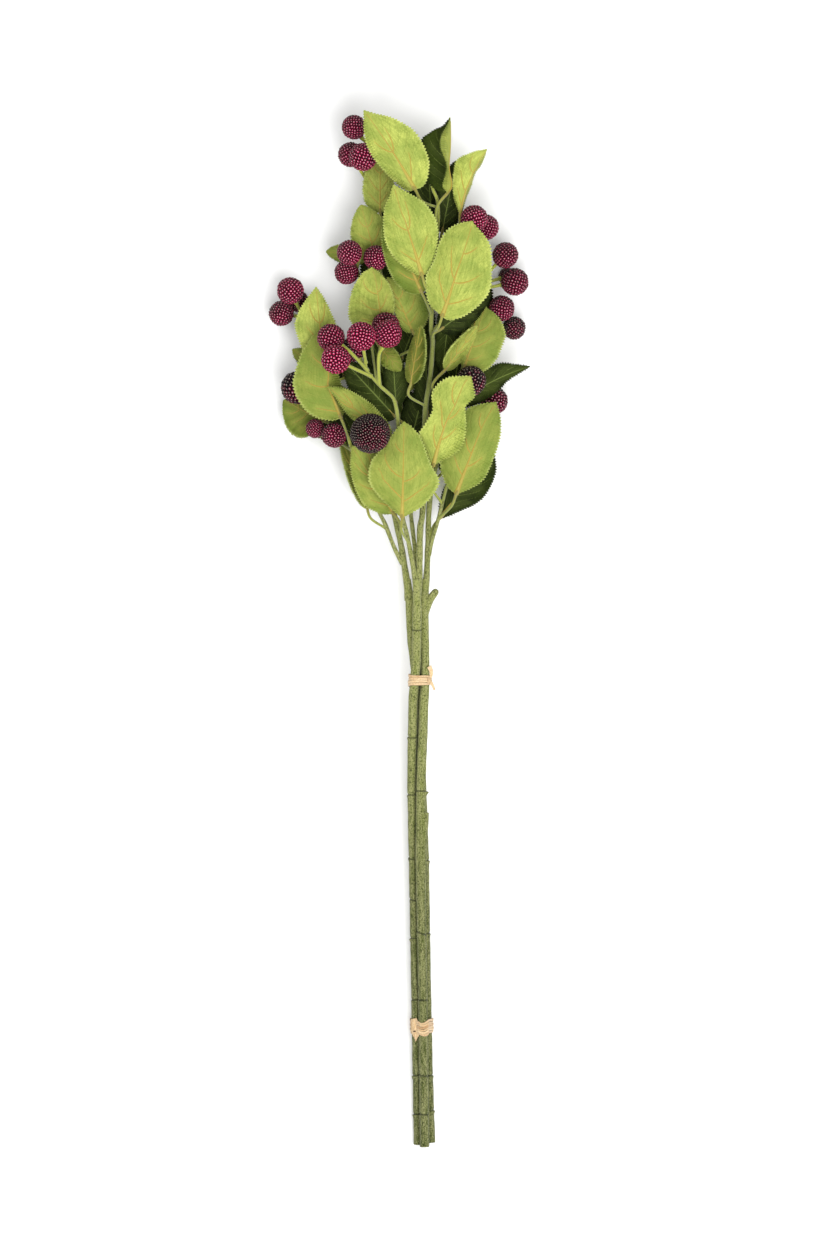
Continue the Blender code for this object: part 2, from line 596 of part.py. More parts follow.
def raffia_tie(name, place, width, knot_turn, tails, collection, finish):
    """A wound raffia band with ridges, a knot and its tails, as one body."""
    pieces = bpy.data.collections.new(name + "_pieces")
    bpy.context.scene.collection.children.link(pieces)
    inside = STEM_RADIUS + GAP
    work = bmesh.new()
    bmesh.ops.create_cone(work, segments=TIE_SIDES, radius1=1.0, radius2=1.0, depth=1.0)
    lengthwise = [edge for edge in work.edges if edge.verts[0].co.z * edge.verts[1].co.z < 0.0]
    bmesh.ops.subdivide_edges(work, edges=lengthwise, cuts=TIE_ROWS - 1)
    for vertex in work.verts:
        ridge = TIE_RIDGE if round((vertex.co.z + 0.5) * TIE_ROWS) % 2 else 0.0
        angle = math.atan2(vertex.co.y, vertex.co.x)
        vertex.co = band_point(place - width * vertex.co.z, angle, inside + ridge) * MM
    bmesh.ops.triangulate(work, faces=work.faces)
    mesh = bpy.data.meshes.new(name)
    work.to_mesh(mesh)
    work.free()
    band = mesh_object(name, mesh, collection)
    solid = band.modifiers.new("thickness", "SOLIDIFY")
    solid.thickness = TIE_THICKNESS * MM
    solid.offset = 1.0
    turn = math.radians(knot_turn)
    outward = Vector((math.cos(turn), 0.0, math.sin(turn)))
    spots = [band_point(place, turn + side * KNOT_ARC, inside + TIE_THICKNESS * 1.3) for side in (-1.0, 1.0)]
    knot = (spots[0] + spots[1]) / 2.0
    work = bmesh.new()
    bmesh.ops.create_icosphere(work, subdivisions=1, radius=1.0)
    bmesh.ops.scale(work, vec=Vector((KNOT_RADIUS, width * KNOT_SHARE, KNOT_RADIUS)) * MM, verts=work.verts)
    bmesh.ops.translate(work, vec=knot * MM, verts=work.verts)
    mesh = bpy.data.meshes.new("knot")
    work.to_mesh(mesh)
    work.free()
    mesh_object("knot", mesh, pieces)
    for out, along in tails:
        middle = knot + outward * out * 0.3 + Vector((0.0, along * 0.5, 0.0))
        end = knot + outward * out * 0.5 + Vector((0.0, along, 0.0))
        stops = zip((knot, middle, end), TAIL_RADII)
        tube("tail", [(*stop, radius) for stop, radius in stops], TWIG_SIDES, pieces)
    return fuse(name, band, pieces, collection, finish)


def clear_scene():
    """Empty the scene that the script runs in."""
    for item in list(bpy.data.objects):
        bpy.data.objects.remove(item)


def main():
    """Build the bunch."""
    clear_scene()
    bunch = bpy.data.collections.new("bramble_fruit_branch")
    bpy.context.scene.collection.children.link(bunch)
    chance = random.Random(SEED)
    for stem in STEMS:
        finish = material("foliage_" + stem, (0.30, 0.42, 0.11), 0.7)
        leafy_stem(stem, chance, bunch, finish)
    for name, berry in BERRIES.items():
        beaded_berry(name, berry, chance, bunch, material(name, (0.22, 0.01, 0.08), 0.45))
    for name, (place, width, knot_turn, tails) in TIES.items():
        raffia_tie(name, place, width, knot_turn, tails, bunch, material(name, (0.72, 0.5, 0.26), 0.8))


main()
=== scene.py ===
"""Dressed model of a tied bunch of three leafy berry stems that lies on a surface, for Blender 4.5.

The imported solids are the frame. Every leaf, stem, berry and tie is built again here as a finer piece in the
place of its solid, from the same tables in millimetres. The cut ends point to -Y, the leafy heads to +Y and
+Z is up from the surface.
"""

import logging
import math
import random
from dataclasses import dataclass, field
from enum import Enum
from typing import Sequence

import bmesh
import bpy
import numpy as np
from mathutils import Euler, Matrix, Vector

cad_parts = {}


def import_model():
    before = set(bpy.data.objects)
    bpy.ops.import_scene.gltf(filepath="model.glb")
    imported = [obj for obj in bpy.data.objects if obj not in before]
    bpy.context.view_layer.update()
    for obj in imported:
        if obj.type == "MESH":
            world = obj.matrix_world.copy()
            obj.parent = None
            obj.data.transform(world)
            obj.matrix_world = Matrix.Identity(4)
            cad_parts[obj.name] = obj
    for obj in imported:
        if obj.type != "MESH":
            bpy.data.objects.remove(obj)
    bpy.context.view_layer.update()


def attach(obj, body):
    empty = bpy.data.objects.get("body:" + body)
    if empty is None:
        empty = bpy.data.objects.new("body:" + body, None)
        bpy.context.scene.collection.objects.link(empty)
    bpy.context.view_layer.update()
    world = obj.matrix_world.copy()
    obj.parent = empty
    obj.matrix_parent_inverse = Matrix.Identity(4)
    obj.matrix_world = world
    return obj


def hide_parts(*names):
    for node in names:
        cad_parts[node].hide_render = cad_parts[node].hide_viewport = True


MM = 0.001
SEED = 11
# The lights turn a base colour of 1 into this many times white, so a look is brought down to its base
LOOK_TO_BASE = 0.85
DISPLAY_STEPS = 255.0
DISPLAY_GAMMA = 2.2
CURVE_STEPS = 12
# Which finish a part takes, counted through its piece's own list
STALK_SLOT = 1
RIB_SLOT = 2
LOG = logging.getLogger("berry_bunch")

Point = tuple[float, float, float]
Spot = tuple[float, float]


# What the bunch is made of

class Side(Enum):
    """Which side of a leaf is seen from above."""

    PALE = 0
    DARK = 1


@dataclass(frozen=True)
class Section:
    """Place of the bundle of main stems at one distance along it."""

    y: float
    x: float
    spread: float
    twist: float


@dataclass(frozen=True)
class Joint:
    """A leaf joint on a main stem: a scar over a lip that stands out to one side and tapers down.

    way is that side, in degrees round the stem from +X towards +Z, and ring how dark the scar is.
    """

    y: float
    out: float = 0.3
    way: float = 90.0
    length: float = 3.0
    slant: float = 0.0
    ring: float = 0.9


@dataclass(frozen=True)
class Leaf:
    """A leaf on its twig.

    left and right are how far each margin reaches out and rises, seen from above and looking to the tip. A
    margin that reaches less than nothing is folded back over the blade. An edge, where there is one, gives
    that margin's own points from base to tip. ribs are the side veins: where each leaves the midrib, how far
    along the leaf it ends, and how far out. tone sets the blade's colour, partly its own and partly painted
    shade, lower for leaves deep in the bunch; the leaf's stalk and ribs follow it. lean is painted light: how
    much lighter the right margin is painted than the midrib.
    """

    base: Point
    tip: Point
    left: Spot
    right: Spot
    twig: str
    leaves_at: float
    bow: float = 0.0
    arch: float = 3.0
    wave: float = 1.0
    taper: float = 0.75
    side: Side = Side.PALE
    tone: float = 0.6
    lean: float = 0.0
    left_edge: tuple[Spot, ...] = ()
    right_edge: tuple[Spot, ...] = ()
    midrib: tuple[Spot, ...] = ()
    ribs: tuple[Point, ...] = ()


@dataclass(frozen=True)
class Berry:
    """A berry on its stalk. ripe runs from 0 for dark purple to 1 for bright pink."""

    centre: Point
    diameter: float
    twig: str
    leaves_at: float
    via: tuple[float, ...] = ()
    rests: bool = False
    ripe: float = 0.6


BUNDLE = (
    Section(34.0, 11.4, 6.8, 0.0),
    Section(14.0, 12.0, 5.2, 0.0),
    Section(-6.0, 12.2, 4.8, 8.0),
    Section(-20.0, 12.9, 4.1, 20.0),
    Section(-46.0, 13.1, 4.1, 65.0),
    Section(-99.0, 12.6, 4.1, 92.0),
    Section(-151.0, 13.4, 4.2, 112.0),
    Section(-237.0, 14.9, 4.1, 110.0),
    Section(-290.0, 15.8, 4.2, 114.0),
    Section(-343.0, 16.9, 4.7, 120.0),
)
STEM_RADIUS = 3.13
CUT_END = -342.2
END_HEIGHT = STEM_RADIUS + 4.7 / 2
RISE = 0.0582

# Each main stem: its place round the bundle at no twist, where it is cut, and its leaf joints
STEMS: dict[str, tuple[float, float, tuple[Joint, ...]]] = {
    "left": (210.0, -339.6, (
        Joint(-318.5, 0.5, 0.0), Joint(-295.4, 0.4, 0.0), Joint(-201.0, 0.3, 0.0), Joint(-152.8, 0.5, 0.0))),
    "middle": (90.0, -340.9, (
        Joint(-321.1, 0.6, 180.0), Joint(-295.4, 0.6, 180.0), Joint(-245.2), Joint(-204.3, 0.8, 180.0),
        Joint(-179.2, slant=0.6), Joint(-150.8, 0.4, 180.0, slant=1.2), Joint(-109.2, 0.3, 180.0),
        Joint(-71.0, 0.4, 180.0, slant=0.5), Joint(-0.3, 0.1))),
    "right": (330.0, CUT_END, (
        Joint(-321.1, 0.3, 90.0), Joint(-295.4, slant=0.5), Joint(-245.2),
        Joint(-201.0, 0.4, 90.0, slant=1.0), Joint(-106.6, 2.2, 0.0, 6.5),
        Joint(-120.5, 2.2, 0.0, 90.0, ring=0.0))),
}

# Twigs, from the main stem outwards, as (x, y, z, radius)
TWIGS: dict[str, dict[str, tuple[tuple[float, float, float, float], ...]]] = {
    "left": {
        "left_main": (
            (6.6, 20.0, 23.7, 2.4), (4.6, 36.0, 24.2, 2.2), (1.3, 56.4, 25.0, 2.0),
            (-2.6, 74.3, 25.5, 1.9), (-8.0, 95.0, 26.0, 1.8), (-17.0, 122.0, 26.5, 1.7),
            (-27.0, 150.0, 25.0, 1.6), (-36.0, 178.0, 22.0, 1.5), (-44.0, 200.0, 18.0, 1.3),
            (-54.0, 205.0, 15.0, 1.2), (-65.0, 208.5, 14.0, 1.0),
        ),
        "left_side": (
            (2.2, 44.0, 24.5, 1.4), (-3.3, 55.1, 26.5, 1.4), (-9.2, 70.3, 28.5, 1.4),
            (-12.5, 76.9, 29.0, 1.3), (-19.0, 92.0, 31.0, 1.3), (-26.0, 107.0, 33.0, 1.2),
            (-31.5, 121.0, 36.0, 1.2), (-34.0, 129.0, 39.5, 1.0),
        ),
        "left_low": (
            (-30.5, 118.5, 35.0, 1.0), (-38.9, 124.0, 27.0, 1.0), (-48.0, 127.5, 21.5, 0.9),
            (-53.0, 129.5, 20.0, 0.8),
        ),
    },
    "middle": {
        "middle_front": (
            (11.3, 24.0, 32.3, 1.8), (10.3, 36.0, 33.4, 1.8), (7.9, 49.8, 34.5, 1.6), (5.3, 63.0, 36.5, 1.5),
            (2.6, 74.3, 38.0, 1.4), (0.5, 95.0, 40.0, 1.3), (-0.5, 118.0, 42.0, 1.3),
            (-0.7, 138.9, 44.5, 1.3),
            (-3.3, 152.1, 45.5, 1.2), (-7.3, 156.8, 46.0, 1.2), (-12.5, 161.4, 46.5, 1.1),
            (-20.5, 170.6, 46.5, 0.9), (-22.1, 177.0, 47.0, 0.8),
        ),
        "middle_main": (
            (11.8, 22.0, 31.8, 2.4), (13.2, 37.0, 31.6, 2.3), (13.9, 66.3, 32.0, 2.1),
            (15.8, 82.8, 34.0, 2.0),
            (17.2, 142.2, 38.0, 1.7), (19.8, 162.0, 39.5, 1.7), (21.5, 178.5, 40.5, 1.6),
            (22.1, 191.7, 41.5, 1.6), (21.3, 204.9, 42.5, 1.5), (25.1, 257.7, 44.5, 1.3),
            (25.7, 280.8, 46.0, 1.1), (22.4, 290.7, 48.0, 1.0), (19.1, 300.0, 49.0, 0.8),
        ),
        "middle_back": (
            (11.6, 20.0, 31.0, 1.6), (11.9, 38.0, 27.0, 1.5), (10.6, 53.1, 24.0, 1.5), (7.9, 76.2, 22.0, 1.4),
            (5.0, 110.0, 20.0, 1.4), (1.0, 150.0, 19.0, 1.3), (-5.0, 190.0, 19.0, 1.3),
            (-11.0, 230.0, 20.0, 1.2), (-16.0, 258.0, 22.0, 1.1), (-19.0, 285.0, 24.5, 1.0),
            (-22.0, 300.0, 27.5, 0.9), (-21.0, 309.0, 30.0, 0.8),
        ),
        "upper_left": (
            (-9.0, 217.0, 19.5, 1.0), (-16.0, 224.0, 21.5, 1.0), (-24.4, 231.3, 24.0, 0.9),
            (-28.4, 241.0, 29.0, 0.8),
        ),
        "upper_right": ((25.0, 252.0, 44.3, 1.0), (34.0, 258.0, 45.0, 0.9), (43.0, 263.0, 43.5, 0.8)),
    },
    "right": {
        "right_main": (
            (16.7, 22.0, 23.9, 2.4), (18.2, 36.0, 23.6, 2.1), (19.1, 56.4, 23.0, 1.9),
            (20.5, 87.5, 22.5, 1.8),
            (27.0, 120.0, 22.0, 1.7), (36.0, 150.0, 21.0, 1.6), (44.0, 180.0, 20.0, 1.5),
            (51.0, 210.0, 18.0, 1.4), (57.0, 233.0, 17.0, 1.2), (61.5, 240.0, 18.0, 1.0),
        ),
        "right_side": (
            (19.5, 49.8, 23.5, 1.4), (22.5, 62.0, 26.0, 1.3), (25.7, 72.9, 28.0, 1.3),
            (29.0, 86.1, 30.0, 1.2),
            (32.5, 100.0, 31.0, 1.0), (36.0, 118.0, 31.5, 0.9),
        ),
        "right_stub": ((16.6, 9.0, 23.0, 2.6), (20.0, 19.5, 24.0, 2.5), (25.2, 27.0, 25.0, 2.4)),
    },
}

# Each leaf's tone is partly its own colour and partly painted shade; lean is painted light across the blade
LEAVES: dict[str, tuple[Leaf, ...]] = {
    "left": (
        Leaf((-38.3, 140.3, 45.0), (-53.5, 197.7, 38.0), (23.0, -4.0), (7.0, -12.0), "left_side", 126.0,
             tone=0.38,
             left_edge=((-44.2, 138.9), (-52.8, 140.3), (-60.7, 144.9), (-67.3, 154.1), (-69.6, 162.0),
                        (-69.3, 166.7), (-64.7, 181.8), (-58.7, 191.7)),
             right_edge=((-35.6, 146.9), (-37.5, 157.4), (-40.5, 168.6), (-45.5, 181.8), (-50.2, 191.7)),
             midrib=((-43.6, 153.5), (-46.9, 162.0), (-46.9, 171.9)),
             ribs=((0.08, 0.26, -0.7), (0.38, 0.52, -0.65), (0.62, 0.76, -0.5))),
        Leaf((-49.5, 170.6, 28.0), (-54.8, 227.0, 31.0), (16.0, -2.0), (10.0, -5.0), "left_main", 168.0,
             taper=1.0, tone=0.9,
             left_edge=((-59.0, 175.0), (-65.3, 190.4), (-68.3, 199.7), (-68.0, 204.9), (-64.0, 214.2)),
             right_edge=((-43.0, 178.0), (-40.5, 190.0), (-41.0, 199.0), (-44.2, 207.6), (-48.8, 217.5))),
        Leaf((-43.0, 165.0, 21.0), (-70.5, 186.0, 19.0), (7.0, 0.0), (9.0, -3.0), "left_main", 157.0,
             tone=0.3),
        Leaf((-21.1, 80.9, 27.0), (-38.9, 127.7, 19.0), (5.0, 6.0), (5.0, -4.0), "left_side", 67.0, tone=0.6),
        Leaf((-3.3, 76.9, 34.0), (-31.0, 121.8, 42.0), (16.5, -2.0), (10.5, -5.0), "left_main", 60.0,
             tone=0.45,
             left_edge=((-12.5, 77.6), (-21.8, 82.2), (-25.1, 86.1), (-29.0, 94.7), (-31.7, 107.3)),
             right_edge=((1.5, 86.0), (1.0, 99.0), (-7.0, 112.0), (-20.0, 121.0))),
        Leaf((-51.0, 139.0, 14.5), (-76.5, 152.5, 12.0), (17.0, 0.0), (8.0, -2.0), "left_low", 128.0,
             tone=0.0),
    ),
    "middle": (
        Leaf((10.6, 290.7, 60.0), (-23.1, 342.2, 65.0), (11.5, -7.0), (19.8, -3.0), "middle_main", 279.0,
             arch=4.0, taper=0.9, tone=0.86, lean=0.06,
             left_edge=((5.9, 289.7), (-0.7, 294.4), (-5.9, 299.3), (-12.5, 306.2), (-17.2, 312.5),
                        (-20.8, 319.8), (-22.4, 327.0), (-22.9, 336.3)),
             right_edge=((14.9, 292.1), (17.8, 296.0), (19.1, 301.9), (19.5, 308.6), (16.5, 317.8),
                         (12.5, 325.1), (7.3, 330.7), (0.7, 334.6), (-5.9, 337.6), (-14.5, 339.6)),
             midrib=((-3.3, 313.8), (-15.8, 332.3)),
             ribs=((0.46, 0.72, 0.3), (0.46, 0.66, -0.55), (0.08, 0.4, 0.45))),
        Leaf((31.7, 288.1, 51.0), (33.7, 338.0, 54.0), (17.0, -3.0), (-6.0, 13.0), "middle_main", 258.0,
             side=Side.DARK, tone=0.85,
             left_edge=((24.0, 291.0), (16.5, 300.0), (14.0, 312.0), (14.9, 323.1), (20.5, 328.0),
                        (24.4, 330.3), (29.0, 332.3)),
             right_edge=((28.6, 293.0), (31.3, 305.0), (27.4, 317.0), (27.6, 325.0), (31.6, 333.0)),
             midrib=((34.4, 293.5), (32.8, 305.0), (33.8, 320.0)),
             ribs=((0.2, 0.36, -0.6), (0.45, 0.6, -0.6), (0.68, 0.8, -0.5))),
        Leaf((40.3, 274.2, 49.0), (57.8, 317.1, 52.0), (14.6, -3.0), (1.5, -13.0), "middle_main", 250.0,
             tone=1.0,
             left_edge=((38.0, 280.8), (36.6, 286.1), (35.6, 294.0), (36.6, 303.9), (38.3, 309.9),
                        (41.6, 312.2), (50.2, 315.5)),
             right_edge=((44.0, 286.1), (47.3, 294.0), (49.5, 301.3), (54.0, 307.9)),
             midrib=((42.2, 284.1), (45.5, 294.0), (51.5, 307.2))),
        Leaf((28.4, 263.0, 38.0), (37.6, 309.9, 39.0), (9.0, 2.0), (10.0, -2.0), "middle_main", 240.0,
             side=Side.DARK, tone=0.2),
        Leaf((22.0, 260.0, 34.0), (19.0, 313.0, 35.0), (12.0, 0.0), (8.0, -1.0), "middle_main", 236.0,
             side=Side.DARK, tone=0.3),
        Leaf((15.2, 234.0, 60.0), (-3.6, 293.0, 70.0), (14.7, -6.0), (18.2, -4.0), "middle_main", 221.0,
             tone=0.78,
             left_edge=((11.2, 235.0), (2.0, 241.2), (-4.6, 247.8), (-8.6, 256.4), (-9.9, 266.3),
                        (-9.2, 277.5), (-5.9, 285.5)),
             right_edge=((18.5, 236.0), (23.4, 245.9), (25.4, 261.0), (23.4, 271.6), (16.5, 281.2),
                         (7.3, 286.8)),
             midrib=((9.9, 251.1), (7.3, 259.1), (4.0, 269.6), (1.3, 276.2)),
             ribs=((0.5, 0.66, -0.55), (0.5, 0.8, 0.35), (0.16, 0.4, 0.6), (0.14, 0.34, -0.6))),
        Leaf((28.4, 206.9, 57.0), (48.2, 269.3, 66.0), (17.8, -4.0), (24.4, -5.0), "middle_main", 196.0,
             arch=4.0, taper=0.55, tone=0.68, lean=0.1,
             left_edge=((26.4, 208.9), (19.8, 216.2), (17.8, 228.0), (18.5, 234.6), (23.1, 243.2),
                        (27.1, 255.8), (33.0, 264.3), (41.6, 268.0)),
             right_edge=((33.7, 204.6), (43.6, 207.9), (53.5, 215.5), (59.7, 224.7), (60.7, 237.9),
                         (59.7, 253.1), (54.8, 261.0), (50.8, 265.3)),
             midrib=((33.0, 220.1), (37.6, 234.6), (42.2, 247.8), (46.9, 263.0)),
             ribs=((0.14, 0.33, 0.68), (0.36, 0.52, 0.62), (0.66, 0.75, 0.45), (0.14, 0.47, -0.65),
                   (0.4, 0.68, -0.5))),
        Leaf((-12.5, 276.2, 31.0), (-12.5, 317.5, 32.0), (11.0, -1.0), (9.0, -1.0), "middle_back", 262.0,
             tone=0.65),
        Leaf((-14.5, 243.2, 29.0), (-25.1, 280.8, 40.0), (12.5, -2.0), (14.0, -3.0), "middle_back", 226.0,
             tone=0.45),
        Leaf((-22.0, 246.5, 22.0), (-48.2, 250.8, 18.0), (6.0, 0.0), (7.0, -2.0), "middle_back", 238.0,
             tone=0.3),
        Leaf((-11.2, 198.3, 22.0), (-17.8, 239.3, 52.0), (20.0, -2.0), (11.0, 0.0), "middle_back", 182.0,
             arch=-2.0, tone=0.76, lean=-0.12,
             left_edge=((-22.4, 198.3), (-31.0, 203.6), (-33.0, 209.6), (-32.3, 218.1), (-29.7, 226.7),
                        (-24.4, 234.6)),
             right_edge=((-5.9, 203.6), (-3.6, 210.9), (-3.6, 218.1), (-5.9, 226.7), (-10.6, 233.3)),
             midrib=((-12.5, 210.9), (-15.2, 230.0))),
        Leaf((15.0, 223.0, 52.0), (-8.6, 274.2, 56.0), (13.2, -5.0), (14.0, -3.0), "middle_main", 208.0,
             tone=0.1),
        Leaf((9.2, 197.0, 23.0), (-7.9, 233.3, 34.0), (5.5, -1.5), (15.4, -1.0), "middle_back", 180.0,
             arch=-1.0, tone=0.42, lean=-0.15,
             left_edge=((4.0, 198.3), (-0.7, 206.3), (-4.0, 214.8), (-5.9, 223.4)),
             right_edge=((13.9, 198.3), (18.5, 205.2), (19.5, 211.5), (17.2, 219.5), (11.9, 226.1),
                         (2.6, 230.7)),
             midrib=((0.7, 216.8), (-3.3, 223.4))),
        Leaf((27.1, 198.3, 48.0), (60.0, 222.8, 47.0), (11.0, 0.0), (9.5, -2.0), "middle_main", 186.0,
             side=Side.DARK, tone=0.05),
        Leaf((33.0, 208.0, 42.0), (28.4, 170.6, 33.0), (9.0, -2.0), (8.0, -2.0), "middle_main", 196.0,
             side=Side.DARK, tone=0.4),
        Leaf((7.9, 162.7, 48.0), (14.5, 201.0, 54.0), (5.0, -12.0), (6.5, 9.0), "middle_main", 148.0,
             tone=0.3, lean=-0.45),
        Leaf((8.6, 128.4, 24.0), (17.2, 162.7, 23.0), (10.0, 0.0), (10.0, -2.0), "middle_back", 104.0,
             side=Side.DARK, tone=0.2),
        Leaf((19.0, 141.0, 28.0), (17.0, 196.0, 27.0), (8.0, 0.0), (9.0, -1.0), "middle_main", 124.0,
             side=Side.DARK, tone=0.2),
        Leaf((-2.0, 140.9, 31.0), (-35.6, 177.2, 30.0), (13.0, -3.0), (13.0, -1.0), "middle_back", 118.0,
             side=Side.DARK, tone=0.45),
        Leaf((-2.0, 148.8, 37.0), (-4.6, 188.4, 36.0), (7.0, 0.0), (8.0, 0.0), "middle_front", 128.0,
             side=Side.DARK, tone=0.35),
        Leaf((-12.0, 186.0, 39.0), (1.0, 171.5, 41.0), (6.0, 0.0), (6.0, -2.0), "middle_front", 164.0,
             tone=0.03),
        Leaf((-4.6, 125.7, 46.0), (-46.9, 160.7, 50.0), (8.5, -2.0), (8.2, -4.0), "middle_front", 110.0,
             tone=0.5,
             left_edge=((-15.8, 129.0), (-25.7, 135.6), (-33.7, 142.9), (-40.9, 152.8)),
             right_edge=((-5.9, 133.7), (-11.9, 142.2), (-19.1, 149.5), (-27.7, 155.4), (-37.0, 159.4))),
        Leaf((2.0, 74.3, 49.0), (3.3, 137.6, 54.0), (23.0, -3.0), (25.0, -1.0), "middle_front", 58.0,
             taper=1.1, tone=0.52, lean=0.08,
             left_edge=((-6.6, 82.2), (-16.5, 92.7), (-19.8, 100.7), (-17.8, 111.9), (-9.7, 121.0),
                        (-2.6, 131.0)),
             right_edge=((5.3, 76.2), (14.5, 81.5), (22.4, 90.1), (26.1, 98.7), (20.5, 110.0),
                         (14.5, 126.0), (9.2, 133.0)),
             midrib=((2.6, 95.0), (3.0, 118.0)),
             ribs=((0.68, 0.78, -0.5), (0.42, 0.66, -0.7), (0.2, 0.52, -0.72), (0.38, 0.53, 0.55),
                   (0.17, 0.42, 0.75))),
    ),
    "right": (
        Leaf((22.4, 108.6, 44.0), (47.5, 167.3, 58.0), (17.0, -2.0), (12.0, -8.0), "right_side", 84.0,
             wave=3.0, tone=0.8,
             left_edge=((19.1, 110.6), (15.8, 119.1), (13.5, 129.7), (17.2, 135.6), (22.4, 145.5),
                        (21.8, 154.8), (25.1, 161.4), (33.7, 166.7)),
             right_edge=((29.0, 113.2), (33.7, 115.2), (41.6, 122.4), (43.9, 135.6), (43.6, 147.5),
                         (49.2, 154.1), (48.6, 160.5)),
             midrib=((27.1, 125.7), (31.7, 138.9), (37.0, 148.8), (42.9, 162.7)),
             ribs=((0.17, 0.4, -0.5), (0.4, 0.62, -0.6), (0.66, 0.85, -0.55), (0.28, 0.45, 0.5),
                   (0.5, 0.66, 0.5))),
        Leaf((37.6, 90.1, 35.0), (64.0, 150.8, 35.0), (18.0, -2.0), (10.5, -5.0), "right_side", 74.0,
             taper=0.5, tone=0.35,
             left_edge=((31.7, 96.0), (27.7, 107.3), (27.7, 119.1), (32.3, 132.3), (43.6, 144.9),
                        (53.5, 149.2)),
             right_edge=((45.5, 93.4), (54.8, 99.3), (60.0, 108.6), (66.0, 125.7), (66.7, 138.9)),
             midrib=((44.2, 107.3), (49.5, 121.1), (55.4, 135.6)),
             ribs=((0.2, 0.36, -0.5), (0.43, 0.55, -0.35), (0.7, 0.82, -0.4), (0.3, 0.45, 0.5))),
        Leaf((27.1, 74.3, 24.0), (61.4, 119.1, 20.0), (12.0, -2.0), (14.0, -3.0), "right_main", 56.0,
             side=Side.DARK, tone=0.35,
             left_edge=((27.0, 84.0), (31.0, 96.0), (41.0, 110.0), (52.0, 118.0)),
             right_edge=((30.4, 74.9), (40.3, 79.2), (52.8, 85.5), (60.0, 94.7), (63.7, 104.6),
                         (63.4, 112.5))),
        Leaf((35.0, 147.5, 26.0), (86.5, 174.6, 26.0), (12.0, -1.0), (6.0, -1.5), "right_main", 132.0,
             bow=2.7, taper=1.0, side=Side.DARK, tone=0.6,
             left_edge=((38.0, 157.0), (46.0, 166.0), (56.1, 171.6), (66.7, 176.6), (75.9, 175.9)),
             right_edge=((46.9, 148.2), (56.1, 152.1), (64.7, 158.1), (71.9, 165.3), (79.9, 170.6))),
        Leaf((30.4, 171.9, 46.0), (51.5, 201.0, 43.0), (5.0, 9.0), (4.6, -8.0), "right_main", 146.0,
             tone=0.83),
        Leaf((42.9, 173.3, 35.0), (57.0, 214.0, 33.0), (8.0, -2.0), (19.0, -2.0), "right_main", 158.0,
             arch=1.0, tone=0.3,
             left_edge=((40.0, 180.0), (41.0, 192.0), (46.0, 205.0)),
             right_edge=((49.5, 170.5), (56.8, 171.9), (64.0, 179.2), (68.6, 190.4), (70.0, 196.4),
                         (66.0, 206.0))),
    ),
}

